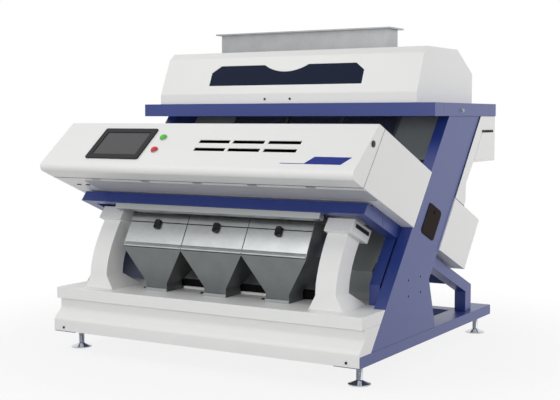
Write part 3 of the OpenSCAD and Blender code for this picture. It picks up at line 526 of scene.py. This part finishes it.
def clear_picks(piece, kind):
    """Deselect all of a piece's mesh, so that its faces, edges or points can be picked in code."""
    only(piece)
    bpy.ops.object.mode_set(mode="EDIT")
    bpy.ops.mesh.select_mode(type=kind)
    bpy.ops.mesh.select_all(action="DESELECT")
    bpy.ops.object.mode_set(mode="OBJECT")


def pick_faces(piece, test):
    """Enter edit mode with the faces selected whose centre and normal pass a test."""
    clear_picks(piece, "FACE")
    for face in piece.data.polygons:
        face.select = test(face.center / MM, face.normal)
    bpy.ops.object.mode_set(mode="EDIT")


def pick_edges(piece, test):
    """Enter edit mode with the edges selected whose two ends, in millimetres, pass a test."""
    clear_picks(piece, "EDGE")
    points = piece.data.vertices
    for edge in piece.data.edges:
        edge.select = test(points[edge.vertices[0]].co / MM, points[edge.vertices[1]].co / MM)
    bpy.ops.object.mode_set(mode="EDIT")


def done_editing():
    """Back to object mode."""
    bpy.ops.object.mode_set(mode="OBJECT")


def raise_top(piece, steps):
    """Inset the top face and move it, once for each pair of inset and rise in millimetres."""
    pick_faces(piece, lambda centre, normal: normal.z > 0.99 and centre.z > piece_top(piece) - 0.01)
    for inset, rise in steps:
        bpy.ops.mesh.inset(thickness=inset * MM)
        bpy.ops.transform.translate(value=(0, 0, rise * MM))
    done_editing()


def piece_top(piece):
    """The highest point of a mesh in millimetres."""
    return max(point.co.z for point in piece.data.vertices) / MM


def round_corners(piece, radius, segments=6):
    """Round the upright edges of a blank."""
    pick_edges(piece, lambda a, b: abs(a.z - b.z) > 0.01 and (a - b).xy.length < 0.01)
    bpy.ops.mesh.bevel(offset=radius * MM, segments=segments, affect="EDGES")
    done_editing()

# %% Placing, copying and joining


def settle(piece, place, turn=(0, 0, 0)):
    """Turn a flat piece, move it to its place and apply both to the mesh."""
    only(piece)
    piece.rotation_euler = turn
    piece.location = place
    bpy.ops.object.transform_apply(location=True, rotation=True, scale=True)


def twin_of(piece):
    """A copy of a piece with its own mesh."""
    twin = piece.copy()
    twin.data = piece.data.copy()
    bpy.context.scene.collection.objects.link(twin)
    return twin


def merge(piece, *others):
    """Join other pieces into one, each with its place applied to its mesh first."""
    only(piece)
    for other in others:
        other.select_set(True)
    bpy.ops.object.transform_apply(location=True, rotation=True, scale=True)
    bpy.ops.object.join()


def fit(piece, body, material, slot, *nodes):
    """Paint a finished piece and let it ride on its body, in the place of the nodes it stands for."""
    paint(piece, material)
    piece.data.name = piece.name
    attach(piece, body)
    if nodes:
        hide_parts(*nodes)


def on_face(x, s, h=0.0):
    """A point of the door's sloping face: across, up the face from the nose, and out from it."""
    point = nose_tip + s * face_run + h * face_out
    return at(x, point.y, point.z)


FACE_TURN = (FACE_ANGLE, 0, 0)
FACE_MID = 179

# %% [markdown]
# ## The touch screen
# The operator's screen is a panel PC with a moulded frame. Its corners are rounded by about 9 mm, and
# its inner edge slopes down to the glass. The CAD frame has the right size, so its copy is shaped on:
# the four outer corner edges are bevelled wide, and the rest by the usual small radius.

# %% Screen frame
frame_piece = copy_of("screen_bezel", "screen_frame")
SCREEN_X = -419
NEARLY_HALF = 140


def is_corner_edge(a, b):
    """True for an edge along the face's normal at an outer corner of the frame."""
    along = (b - a).normalized()
    return abs(along.dot(face_out)) > 0.99 and abs(a.x - SCREEN_X) > NEARLY_HALF


pick_edges(frame_piece, is_corner_edge)
bpy.ops.mesh.bevel(offset=9 * MM, segments=6, affect="EDGES")
done_editing()
soften(frame_piece, 2.2 * MM)
fit(frame_piece, "door", bezel_abs, "black_plastic", "screen_bezel")
print("screen frame:", len(frame_piece.data.polygons), "faces")

# %% [markdown]
# ## Push buttons
# Start is green and stop is red: a domed lens in a plated ring. The lens is a short blank whose rim is
# bevelled wide, which gives the pillow shape of a real lens, and it has the stem that the CAD button
# has. The ring's hole is wider than the lens, so the lens can be pressed in by its 4 mm.

# %% Buttons and rings
BUTTON_X = -213
START_UP = 225
STOP_UP = 140
for name, s, material, slot in (("start_button", START_UP, start_green, "start_green"),
                                ("stop_button", STOP_UP, stop_red, "stop_red")):
    lens = new_disc(name + "_lens", 15.6, 7.4, 48)
    pick_edges(lens, lambda a, b: a.z > 7 and b.z > 7)
    bpy.ops.mesh.bevel(offset=5.6 * MM, segments=6, affect="EDGES")
    done_editing()
    raise_top(lens, [(3, 0.5), (3, 0.25)])
    stem = new_disc(name + "_stem", 10.4, 18, 32)
    raise_top(stem, [(1.0, 0.4)])
    stem.location.z = -15 * MM
    lens.location.z = 4.4 * MM
    merge(lens, stem)
    bpy.ops.object.shade_smooth_by_angle(angle=math.radians(35))
    settle(lens, on_face(BUTTON_X, s), FACE_TURN)
    fit(lens, name, material, slot, name)
ring = new_disc("button_rings", 17.8, 5.0, 48)
pick_faces(ring, lambda centre, normal: abs(normal.z) > 0.99)
bpy.ops.mesh.inset(thickness=1.8 * MM, use_individual=True)
bpy.ops.mesh.bridge_edge_loops()
done_editing()
soften(ring, 0.5 * MM, 3, 40)
settle(ring, on_face(BUTTON_X, START_UP), FACE_TURN)
lower_ring = twin_of(ring)
lower_ring.location = on_face(BUTTON_X, STOP_UP) - on_face(BUTTON_X, START_UP)
merge(ring, lower_ring)
fit(ring, "door", zinc, "plated", "button_collars")
print("buttons and rings made")

# %% [markdown]
# ## Ventilation slots and the stripe
# Behind the six slots sits a black slab, so the slots read as dark. Its black is painted shade, the shade
# inside the door. It is one slab whose front is inset and pressed in. The stripe at the lower right is a
# plain
# blue vinyl film: a slanted field that runs out into a thin line. It starts as a plane. Its upper edge is
# moved over, the line is extruded from its lower edge and corner, and the film's thickness comes last.

# %% Black slab of painted shade behind the vents
VENT_X = 245
# A black slab behind the slots: painted shade.
pad = new_block("vent_shade_slab", (545, 108, 8))
raise_top(pad, [(4, 0.0), (2, -2.0)])
soften(pad, 0.8 * MM)
settle(pad, on_face(VENT_X, FACE_MID, -24), FACE_TURN)
fit(pad, "door", vent_shade_black, "black_plastic")
print("vent pad made")

# %% Stripe
bpy.ops.object.select_all(action="DESELECT")
bpy.ops.mesh.primitive_plane_add(size=1)
stripe = bpy.context.active_object
stripe.name = "face_stripe"
stripe.scale = (168 * MM, 42 * MM, 1)
bpy.ops.object.transform_apply(location=True, rotation=True, scale=True)
pick_edges(stripe, lambda a, b: a.y > 20 and b.y > 20)
bpy.ops.transform.translate(value=(31 * MM, 0, 0))
done_editing()
pick_edges(stripe, lambda a, b: a.y < -20 and b.y < -20)
bpy.ops.mesh.extrude_region_move(TRANSFORM_OT_translate={"value": (-2.6 * MM, -3.6 * MM, 0)})
done_editing()
pick_edges(stripe, lambda a, b: a.x < -80 and b.x < -80 and a.y < -20 and b.y < -20)
bpy.ops.mesh.extrude_region_move(TRANSFORM_OT_translate={"value": (-110 * MM, 0, 0)})
done_editing()
film = stripe.modifiers.new("film", "SOLIDIFY")
film.thickness = 0.5 * MM
film.offset = 1
bpy.ops.object.modifier_apply(modifier="film")
settle(stripe, on_face(652, 97, 0.1), FACE_TURN)
fit(stripe, "door", stripe_vinyl, "blue_paint")
print("stripe:", len(stripe.data.polygons), "faces")

# %% [markdown]
# ## Door lock
# A black cam lock sits in the door's right-hand end. Its head is a blank with a rounded rim and a
# sunken keyway. It faces +X, so it is turned about Y.

# %% Lock head
FACE_RIGHT = (0, math.radians(90), 0)
lock_head = new_disc("door_lock_head", 14, 4.5, 40)
raise_top(lock_head, [(2.5, 0.0), (0.8, -0.9), (3.4, 0.0), (0.4, 0.7)])
soften(lock_head, 0.7 * MM)
key = new_block("keyway", (3, 13, 1.2))
raise_top(key, [(0.5, 0.0), (0.3, -0.6)])
key.location.z = 3.9 * MM
barrel = new_disc("lock_barrel", 8.8, 24, 28)
raise_top(barrel, [(0.8, 0.3)])
barrel.location.z = -22 * MM
merge(lock_head, key, barrel)
lock_place = door_brow - Vector((0, 60, 79))
settle(lock_head, at(BOX_HALF, lock_place.y, lock_place.z), FACE_RIGHT)
cam = new_block("lock_cam", (25, 14, 4))
round_corners(cam, 5)
soften(cam, 0.6 * MM)
settle(cam, at(BOX_HALF - 26, lock_place.y + 5, lock_place.z - 2), FACE_RIGHT)
merge(lock_head, cam)
fit(lock_head, "door_lock", black_nylon, "black_plastic", "door_lock")
print("lock made")

# %% [markdown]
# ## Levelling feet
# A machine foot is a turned and chromed dish on a threaded stud, with a lock nut under the rail. The
# dish is a blank whose top is inset and raised in steps, and the thread is a stack of short extrusions
# that swell and shrink, 3 mm apart, which is what an M20 thread looks like from a few metres.

# %% Feet
RAIL = (120, 48, 91)
RAIL_LEN = 1474
RAIL_MID = HALF_W - RAIL[0] / 2
FOOT_YS = {"front": 118, "rear": RAIL_LEN - 56}
THREADS = 24
HALF_PITCH = 1.5 * MM
THREAD_NECK = 0.9
foot = new_disc("levelling_foot", 48, 5, 48)
raise_top(foot, [(1.2, 1.0), (9, 2.2), (12, 5.0), (8, 3.5), (3.5, 3.0), (4.3, 0.0)])
pick_faces(foot, lambda centre, normal: normal.z > 0.99 and centre.z > piece_top(foot) - 0.01)
for turn in range(THREADS):
    for size in (THREAD_NECK, 1 / THREAD_NECK):
        bpy.ops.mesh.extrude_region_move(TRANSFORM_OT_translate={"value": (0, 0, HALF_PITCH)})
        bpy.ops.transform.resize(value=(size, size, 1))
done_editing()
soften(foot, 0.5 * MM, 2, 60)
print("foot", round(piece_top(foot), 1), "mm tall")
for end, y in FOOT_YS.items():
    for side, sign in (("left", -1), ("right", 1)):
        node = "foot_" + end + "_" + side
        twin = twin_of(foot)
        twin.name = node + "_turned"
        settle(twin, at(sign * RAIL_MID, y, 0))
        fit(twin, node, foot_chrome, "plated", node)
bpy.data.objects.remove(foot)

# %% [markdown]
# ## Toggle latches
# Each sampling door is held by a black latch lever. It starts as a block with rounded corners. Its top is
# inset and raised, a thumb hollow is pressed into it, and a rib for the finger is joined on.

# %% Latches
DOOR_RAKE = 0.55
DOOR_RISE = 101
bend_point = Vector((0, 124, BEND_Z))
split_point = bend_point + DOOR_RISE * Vector((0, DOOR_RAKE, 1))
door_run = (split_point - bend_point).normalized()
door_out = Vector((0, -door_run.z, door_run.y))
DOOR_TURN = (math.atan2(door_run.z, door_run.y), 0, 0)
latch_axis = split_point - 24 * door_run + 7 * door_out
LANES = (-323, 0, 323)
lever = new_block("latch_lever", (30, 44, 11))
round_corners(lever, 8)
raise_top(lever, [(4, 2.2), (5, -3.4)])
soften(lever, 0.9 * MM)
rib = new_block("latch_rib", (20, 7, 5))
round_corners(rib, 2.5)
soften(rib, 0.8 * MM)
rib.location = (0, -3 * MM, 9.6 * MM)
merge(lever, rib)
spot = latch_axis + 16 * door_run - 6.2 * door_out
for number, x in enumerate(LANES, 1):
    latch = "latch_" + str(number)
    twin = twin_of(lever)
    twin.name = latch + "_lever"
    settle(twin, at(x, spot.y, spot.z), DOOR_TURN)
    fit(twin, latch, black_nylon, "black_plastic", latch)
bpy.data.objects.remove(lever)
print("latches made:", len(LANES))

# %% [markdown]
# ## Access covers on the legs
# A dark plate closes the opening in each leg. The CAD plate has the outline, so its copy gets a small
# radius, and a quarter-turn fastener is added at its upper end. The left one is a mirrored copy.

# %% Access covers
covers = copy_of("access_covers", "leg_access_covers")
soften(covers, 1.2 * MM)
stud = new_disc("cover_stud", 9, 3, 28)
raise_top(stud, [(1.5, 0.0), (0.5, -0.7), (2.0, 0.0), (0.5, 0.5)])
soften(stud, 0.4 * MM)
cover_place = leg_front(624) + Vector((0, 196, 0)) + 52 * UP
settle(stud, at(HALF_W + 2.8, cover_place.y, cover_place.z), FACE_RIGHT)
twin = twin_of(stud)
only(twin)
bpy.ops.transform.mirror(orient_type="GLOBAL", constraint_axis=(True, False, False))
bpy.ops.object.transform_apply(location=True, rotation=True, scale=True)
bpy.ops.object.mode_set(mode="EDIT")
bpy.ops.mesh.select_all(action="SELECT")
bpy.ops.mesh.normals_make_consistent(inside=False)
done_editing()
merge(stud, twin)
stud.name = "cover_studs"
fit(covers, "root", cover_brown, "dark_panel", "access_covers")
fit(stud, "root", cover_brown, "dark_panel")
print("covers made")

# %% [markdown]
# ## Fasteners and plugs
# A screw is modelled once, as a blank with a rounded rim and a sunken drive. A small function then
# turns copies of it on to the panels. To sit on its panel, a fitting asks the dressed piece where a
# straight line meets it.

# %% Placing on a surface
FACE_LEFT = (0, math.radians(-90), 0)
FACE_REAR = (math.radians(-90), 0, 0)
bpy.context.view_layer.update()


def touch(node, start, way):
    """Where a line first meets a dressed node, and the turn that lays a flat piece on it there."""
    found, place, normal, face = skins[node].ray_cast(Vector(start), Vector(way))
    if not found:
        raise RuntimeError("no surface of " + node + " there")
    return place, normal.to_track_quat("Z", "Y").to_euler()


def repeat(model, name, spots, body, material, slot):
    """Copy a model to each place and turn, join the copies to one piece, and fit it."""
    made = []
    for place, turn in spots:
        twin = twin_of(model)
        settle(twin, place, turn)
        made.append(twin)
    merge(*made)
    made[0].name = name
    fit(made[0], body, material, slot)


def use_up(model, name, spots, body, material, slot):
    """The same for a model that isn't needed again."""
    repeat(model, name, spots, body, material, slot)
    bpy.data.objects.remove(model)


# %% Screws
screw = new_disc("socket_screw", 5.5, 3.2, 32)
raise_top(screw, [(2.2, 0.0), (0.3, -1.8)])
soften(screw, 0.5 * MM, 2, 40)
backwards = (0, 1, 0)
HOOD_SCREW_Z = 1179
COVER_SCREW_Z = 112
hood_spots = [touch("hood", at(x, 500, HOOD_SCREW_Z), backwards) for x in (-87, 54)]
repeat(screw, "hood_screws", hood_spots, "root", black_nylon, "black_plastic")
cover_spots = [touch("base_cover", at(x, -300, COVER_SCREW_Z), backwards) for x in (-741, 741)]
use_up(screw, "cover_screws", cover_spots, "root", black_nylon, "black_plastic")
print("screws:", len(hood_spots) + len(cover_spots))

# %% Bolts
BEAM_HALF = HALF_W + 9
BEAM_BOLT = (1035, 1122)
bolt = new_disc("flange_bolt", 10, 2.0, 32)
raise_top(bolt, [(0.8, 0.5)])
head = new_disc("bolt_head", 7.6, 6.5, 6)
raise_top(head, [(1.2, 0.6)])
head.location.z = 2.4 * MM
merge(bolt, head)
soften(bolt, 0.4 * MM, 2, 40)
beam_spots = [(at(BEAM_HALF, *BEAM_BOLT), FACE_RIGHT), (at(-BEAM_HALF, *BEAM_BOLT), FACE_LEFT)]
use_up(bolt, "beam_bolts", beam_spots, "root", zinc, "plated")
print("bolts:", len(beam_spots))

# %% [markdown]
# ## Deck fittings
# Each hopper neck ends at the deck in a rolled hem, which shows as a bright line. The hem takes the bright
# galvanised finish, not the neck's stainless, and that brightness is painted highlight. Beside it a black
# dot is painted shade, the shade of a small gap in the deck. Behind the necks a folded strip stiffens the
# deck, and
# a black strip stands behind it: painted shade, the dark gap behind the deck.

# %% Neck hems and black dots of painted shade
DECK_Z = 296
NECK_W = 116
NECK_Y = 160
FLAT = (0, 0, 0)
hem = new_block("neck_hem", (NECK_W + 3, 7, 13))
soften(hem, 3.0 * MM, 3)
hem_spots = [(at(x, NECK_Y - 2.5, DECK_Z), FLAT) for x in LANES]
# The hem takes the bright galvanised finish: painted highlight.
use_up(hem, "neck_hems", hem_spots, "root", galvanised, "stainless")
# Black dots beside the necks: painted shade of small gaps in the deck.
plug = new_disc("deck_shade_dot", 8, 4, 28)
raise_top(plug, [(1.2, 1.0), (2.5, 0.4)])
soften(plug, 0.5 * MM, 2, 30)
plug_spots = [(at(x - 100, 205, DECK_Z), FLAT) for x in LANES]
use_up(plug, "deck_shade_dots", plug_spots, "root", black_nylon, "black_plastic")
print("hems and shade dots:", len(hem_spots) + len(plug_spots))

# %% Deck strip and a black strip of painted shade
STRIP_Y = 294
strip = new_block("deck_strip", (524, 14, 10))
raise_top(strip, [(3.0, 0.0), (0.8, -3.0)])
soften(strip, 1.5 * MM, 3)
settle(strip, at(0, STRIP_Y, DECK_Z))
fit(strip, "root", white_coat, "white_paint")
# A black strip behind the deck strip: painted shade of the dark gap there.
shade_strip = new_block("black_shade_strip", (880, 3, 41))
pick_faces(shade_strip, lambda centre, normal: normal.y < -0.99)
bpy.ops.mesh.inset(thickness=5 * MM)
bpy.ops.transform.translate(value=(0, 1.2 * MM, 0))
done_editing()
raise_top(shade_strip, [(0.5, 3.0)])
soften(shade_strip, 0.6 * MM, 2)
settle(shade_strip, at(0, STRIP_Y + 8.5, DECK_Z))
fit(shade_strip, "root", seal_rubber, "black_plastic")
print("strip and shade strip made")

# %% [markdown]
# ## Slots in the column heads and under the box
# The column heads have long black slots, and two shorter ones are under the left end of the front box. Each
# is a black piece whose colour is painted shade, the shade inside the slot. It is a long blank with round
# ends and a sunken middle.

# %% Black slots of painted shade
# Black pieces in the slots: painted shade, the shade inside each slot.
slot_shade_blank = new_block("head_slot_shade", (17, 128, 2.4))
round_corners(slot_shade_blank, 3)
raise_top(slot_shade_blank, [(2.0, 0.0), (0.4, -1.9)])
soften(slot_shade_blank, 0.4 * MM, 2, 30)
head_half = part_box("column_heads")[1].x / MM
slot_mid = Vector((0, 279, 617))
slot_turns = []
for sign in (1, -1):
    turn = Matrix.Rotation(-FALL, 3, "X") @ Matrix.Rotation(sign * math.radians(90), 3, "Y")
    slot_turns.append((at(sign * head_half, slot_mid.y, slot_mid.z), turn.to_euler()))
use_up(slot_shade_blank, "head_slot_shades", slot_turns, "root", black_nylon, "black_plastic")
short = new_block("short_slot_shade", (26, 9, 2.2))
round_corners(short, 2.5)
raise_top(short, [(1.2, 0.0), (0.4, -1.6)])
soften(short, 0.3 * MM, 2, 30)
FALL_TURN = (-FALL, 0, 0)
UNDER_TURN = (math.radians(180) - FALL, 0, 0)
PANEL_BACK = 96
spot = seam_low + PANEL_BACK * BACK
under_spots = [(at(x, spot.y, spot.z), UNDER_TURN) for x in (-730, -676)]
use_up(short, "underside_slot_shades", under_spots, "root", black_nylon, "black_plastic")
print("slot shades:", len(slot_turns) + len(under_spots))

# %% [markdown]
# ## Panel under the box and door seals
# A panel with rounded corners closes the underside of the front box. Its grey is painted shade, the shade
# under the box. Black rubber seals lie in the seam of the front door and between the two rear boxes, and
# draw thin dark lines there. A thin line of sealant marks the joint in each arm of the tray.

# %% Underside panel
PANEL_X = 74
panel = new_block("underside_panel", (1452, 136, 1.6))
round_corners(panel, 22)
soften(panel, 0.6 * MM, 2, 30)
spot = seam_low + PANEL_BACK * BACK
settle(panel, at(PANEL_X, spot.y, spot.z), UNDER_TURN)
# Grey for the shade under the box: painted shade.
fit(panel, "root", shade_grey_coat, "galvanised")
print("panel made")

# %% Door seal


def seal_ring(name, low, high, half):
    """A seal in a slanting seam: two long strips and two end strips, joined."""
    long_strip = new_block(name, (2 * half - 1, 4.2, 4))
    soften(long_strip, 0.5 * MM, 2, 30)
    end_strip = new_block(name + "_end", (4, 4.2, (high - low).length))
    soften(end_strip, 0.5 * MM, 2, 30)
    lean_turn = (LEAN - math.radians(90), 0, 0)
    spots = [(long_strip, at(0, low.y, low.z) - 0.8 * MM * OVER, FALL_TURN),
             (long_strip, at(0, high.y, high.z) - 4 * MM * OVER, FALL_TURN),
             (end_strip, at(half - 2, low.y, low.z), lean_turn),
             (end_strip, at(2 - half, low.y, low.z), lean_turn)]
    parts = []
    for model, place, turn in spots:
        twin = twin_of(model)
        settle(twin, place, turn)
        parts.append(twin)
    bpy.data.objects.remove(long_strip)
    bpy.data.objects.remove(end_strip)
    merge(*parts)
    parts[0].name = name
    fit(parts[0], "root", seal_rubber, "black_plastic")


seal_ring("front_door_seal", seam_low, seam_high, BOX_HALF)
print("door seal made")

# %% Joints of the housing and the tray's arms
LEG_DEPTH = 392
REAR_LOW_Z = 490
REAR_TALL = 291
rear_high = leg_front(REAR_LOW_Z) + Vector((0, LEG_DEPTH, 0)) + REAR_TALL * UP
joint = new_block("housing_joint_seal", (2, 118, 3))
soften(joint, 0.5 * MM, 2, 30)
spot = rear_high + 60 * BACK
joint_spots = []
for x in (BOX_HALF - 0.6, 0.6 - BOX_HALF):
    joint_spots.append((at(x, spot.y, spot.z) - 1.5 * MM * OVER, FALL_TURN))
use_up(joint, "housing_joint_seals", joint_spots, "root", seal_rubber, "black_plastic")
ARM_SIDE = 747
ARM_JOINT = (314.3, 634)
ARM_JOINT_TURN = (math.radians(11.1), 0, 0)
arm_joint = new_block("arm_joint_line", (1.2, 1.6, 36))
soften(arm_joint, 0.2 * MM, 2, 30)
arm_joint_spots = [(at(x, *ARM_JOINT), ARM_JOINT_TURN) for x in (ARM_SIDE - 0.3, 0.3 - ARM_SIDE)]
use_up(arm_joint, "arm_joint_lines", arm_joint_spots, "root", seal_rubber, "black_plastic")
print("joint lines:", len(joint_spots) + len(arm_joint_spots))

# %% [markdown]
# ## Catches and hems
# Five spring catches hold the front door shut along its lower seam. Each is a small plate, rounded and
# pressed in. The lower edge of each sampling door is folded out to a hem, which catches the light as a
# bright line. The hem is a strip whose lower edge is drawn forwards, and it swings with its door. A thin
# rubber gasket lies above the doors and between them.

# %% Door catches
catch = new_block("door_catch", (46, 17, 1.4))
round_corners(catch, 4)
raise_top(catch, [(2.5, 0.0), (0.8, -0.7)])
soften(catch, 0.4 * MM, 2, 30)
spot = seam_low + 14 * BACK
catch_spots = [(at(x, spot.y, spot.z), UNDER_TURN) for x in (-560, -280, 0, 280, 560)]
use_up(catch, "door_catches", catch_spots, "root", zinc, "plated")
print("catches:", len(catch_spots))

# %% Door hems
hem = new_block("door_hem", (316, 12, 1.4))
pick_edges(hem, lambda a, b: a.z > 1.3 and b.z > 1.3 and a.y < 0 and b.y < 0)
bpy.ops.transform.translate(value=(0, 0, 3 * MM))
done_editing()
soften(hem, 0.8 * MM, 2)
spot = bend_point + 9 * door_run
for number, x in enumerate(LANES, 1):
    door = "sample_" + str(number)
    twin = twin_of(hem)
    twin.name = door + "_hem"
    settle(twin, at(x, spot.y, spot.z), DOOR_TURN)
    fit(twin, door, hopper_steel, "stainless")
bpy.data.objects.remove(hem)
print("hems made:", len(LANES))

# %% Gaskets
gasket = new_block("header_gasket", (969, 3, 1.2))
soften(gasket, 0.4 * MM, 2, 30)
spot = split_point + 3 * door_run
settle(gasket, at(0, spot.y, spot.z), DOOR_TURN)
DOOR_SPAN = 152
upright = new_block("lane_gasket", (2.4, DOOR_SPAN, 0.8))
soften(upright, 0.3 * MM, 2, 30)
spot = bend_point + (DOOR_SPAN / 2 + 6) * door_run
settle(upright, at(LANES[2] / 2, spot.y, spot.z), DOOR_TURN)
left_upright = twin_of(upright)
left_upright.location.x = LANES[0] * MM
merge(gasket, upright, left_upright)
fit(gasket, "root", seal_rubber, "black_plastic")
print("gaskets joined:", len(gasket.data.polygons), "faces")

# %% [markdown]
# ## Rail caps and the rear side plates
# The base rails are box tube with a black plastic cap pressed into the rear end. The cap starts as a block
# with rounded corners and a slightly domed face. Behind each leg a flat plate closes the rear housing.
# It starts as a plane whose corners are pulled to the housing's slanting outline. A sunken grip for the
# fingers sits above it.

# %% Rail caps
cap = new_block("rail_cap", (RAIL[0] - 1, RAIL[1] - 1, 2.5))
round_corners(cap, 5, 4)
raise_top(cap, [(3, 0.8), (6, 0.3)])
soften(cap, 0.5 * MM, 2, 20)
cap_spots = [(at(x, RAIL_LEN, RAIL[2] + RAIL[1] / 2), FACE_REAR) for x in (-RAIL_MID, RAIL_MID)]
use_up(cap, "rail_caps", cap_spots, "root", black_nylon, "black_plastic")
print("caps:", len(cap_spots))

# %% Side plates
PLATE_CORNERS = {(-1, -1): (1208, 884), (1, -1): (1456, 884), (-1, 1): (1312, 1016), (1, 1): (1456, 1016)}
PLATE_MID = (1330, 950)
PLATE_GAUGE = 1.6
bpy.ops.object.select_all(action="DESELECT")
bpy.ops.mesh.primitive_plane_add(size=2 * MM)
side_plate = bpy.context.active_object
for (a, b), (y, z) in PLATE_CORNERS.items():
    clear_picks(side_plate, "VERT")
    for point in side_plate.data.vertices:
        point.select = (point.co / MM - Vector((a, b, 0))).length < 0.1
    bpy.ops.object.mode_set(mode="EDIT")
    bpy.ops.transform.translate(value=((y - PLATE_MID[0] - a) * MM, (z - PLATE_MID[1] - b) * MM, 0))
    done_editing()
gauge = side_plate.modifiers.new("gauge", "SOLIDIFY")
gauge.thickness = PLATE_GAUGE * MM
gauge.offset = 1
bpy.ops.object.modifier_apply(modifier="gauge")
soften(side_plate, 0.6 * MM, 2)
PLATE_TURN = Matrix(((0, 0, 1), (1, 0, 0), (0, 1, 0))).to_euler()
PLATE_TURN_LEFT = Matrix(((0, 0, -1), (-1, 0, 0), (0, 1, 0))).to_euler()
plate_spots = [(at(x, *PLATE_MID), PLATE_TURN) for x in (BOX_HALF, -BOX_HALF - PLATE_GAUGE)]
use_up(side_plate, "housing_side_plates", plate_spots, "root", white_coat, "white_paint")
print("plates:", len(plate_spots))

# %% Finger grips
GRIP = (1384, 1022)
grip = new_block("finger_grip", (150, 12, 3))
round_corners(grip, 3)
raise_top(grip, [(1.5, 0.5), (1.5, 0.0), (0.6, -2.4)])
soften(grip, 0.4 * MM, 2, 20)
grip_spots = [(at(BOX_HALF, *GRIP), PLATE_TURN), (at(-BOX_HALF, *GRIP), PLATE_TURN_LEFT)]
use_up(grip, "housing_grips", grip_spots, "root", black_nylon, "black_plastic")
print("grips:", len(grip_spots))

# %% [markdown]
# ## The back of the machine
# The rear door is opened by two bow handles, and the housing above it is cooled through two stacks
# of pressed louvres. A handle is a block whose sides are inset and bridged to make the opening for the
# hand. A louvre is a low block whose upper edge is pressed down to the sheet. All of them ask the
# dressed panel for their place and slope.

# %% Rear handles
BEHIND = 2400
forwards = (0, -1, 0)
handle = new_block("bow_handle", (150, 18, 36))
pick_faces(handle, lambda centre, normal: abs(normal.y) > 0.99)
bpy.ops.mesh.inset(thickness=12 * MM, use_individual=True)
bpy.ops.mesh.bridge_edge_loops()
done_editing()
soften(handle, 4 * MM)
handle_spots = [touch("rear_door", at(x, BEHIND, 470), forwards) for x in (-430, 430)]
use_up(handle, "rear_door_handles", handle_spots, "rear_door", black_nylon, "black_plastic")
print("handles:", len(handle_spots))

# %% Louvres and the hood's rear panel
louvre = new_block("pressed_louvre", (190, 16, 7))
pick_edges(louvre, lambda a, b: a.z > 6.9 and b.z > 6.9 and a.y > 0 and b.y > 0)
bpy.ops.transform.translate(value=(0, 0, -6.4 * MM))
done_editing()
soften(louvre, 1.5 * MM)
louvre_spots = []
for x in (-420, 420):
    for row in range(5):
        louvre_spots.append(touch("rear_housing", at(x, BEHIND, 920 + 30 * row), forwards))
use_up(louvre, "housing_louvres", louvre_spots, "root", white_coat, "white_paint")

panel = new_block("hood_rear_panel", (820, 120, 1.6))
round_corners(panel, 14)
soften(panel, 0.6 * MM, 2, 30)
settle(panel, *touch("hood", at(0, BEHIND, 1205), forwards))
fit(panel, "root", white_coat, "white_paint")
print("louvres:", len(louvre_spots))

# %% [markdown]
# ## Inside the front box
# With the door open, the drive modules and the cameras show. A module is a die-cast case with cooling
# fins on top and a green circuit card in front, which carries chips and a terminal strip. Fins, chips
# and terminals are each modelled once. A camera has a round screw-on connector.

# %% Circuit cards
CARD_TURN = (math.radians(90) - FALL, 0, 0)
MODULE_XS = (-605, 605)
MODULE_BACK = 150
CARD_GAUGE = 1.6


def on_module(x, up, out):
    """A point on the front of the drive modules: across, up from the floor, and out towards the door."""
    point = seam_low + (MODULE_BACK - out) * BACK + up * OVER
    return at(x, point.y, point.z)


card = new_block("circuit_card", (80, 104, CARD_GAUGE))
round_corners(card, 3)
raise_top(card, [(1.5, 0.0), (0.4, 0.2)])
card_spots = [(on_module(x, 62, 0), CARD_TURN) for x in MODULE_XS]
use_up(card, "circuit_cards", card_spots, "root", board_green, "board")
chip = new_block("chip", (18, 18, 3))
raise_top(chip, [(1.0, 0.6), (6, -0.2)])
chip_spots = []
for x in MODULE_XS:
    for across, up in ((-24, 88), (4, 92), (26, 84), (-20, 58), (14, 62)):
        chip_spots.append((on_module(x + across, up, CARD_GAUGE), CARD_TURN))
use_up(chip, "card_chips", chip_spots, "root", black_nylon, "black_plastic")
TERMINAL_STEP = 10
terminal = new_block("terminal", (9, 14, 11))
raise_top(terminal, [(1.2, 0.0), (0.5, -2.5)])
soften(terminal, 0.6 * MM, 2, 30)
terminal_spots = []
for x in MODULE_XS:
    for step in range(-3, 4):
        terminal_spots.append((on_module(x + TERMINAL_STEP * step, 26, CARD_GAUGE), CARD_TURN))
use_up(terminal, "card_terminals", terminal_spots, "root", lamp_opal, "lamp")
print("chips and terminals:", len(chip_spots) + len(terminal_spots))

# %% Cooling fins and camera plugs
FIN_STEP = 9
fin = new_block("cooling_fin", (2.8, 160, 4))
raise_top(fin, [(0.5, 10.0)])
soften(fin, 0.5 * MM, 2)
spot = seam_low + (MODULE_BACK + 90) * BACK + 123 * OVER
fin_spots = []
for x in MODULE_XS:
    for step in range(-4, 5):
        fin_spots.append((at(x + FIN_STEP * step, spot.y, spot.z), FALL_TURN))
use_up(fin, "module_fins", fin_spots, "root", aluminium, "board")
plug = new_disc("camera_plug", 11, 8, 32)
raise_top(plug, [(2.5, 0.0), (0.5, 9.0), (1.5, 1.0), (2.0, 0.0), (0.5, -3.0)])
soften(plug, 0.5 * MM, 2, 30)
spot = seam_low - 200 * BACK + 60 * OVER
plug_spots = [touch("cameras", at(x, spot.y, spot.z), BACK) for x in LANES]
use_up(plug, "camera_plugs", plug_spots, "root", zinc, "plated")
print("fins and plugs:", len(fin_spots) + len(plug_spots))
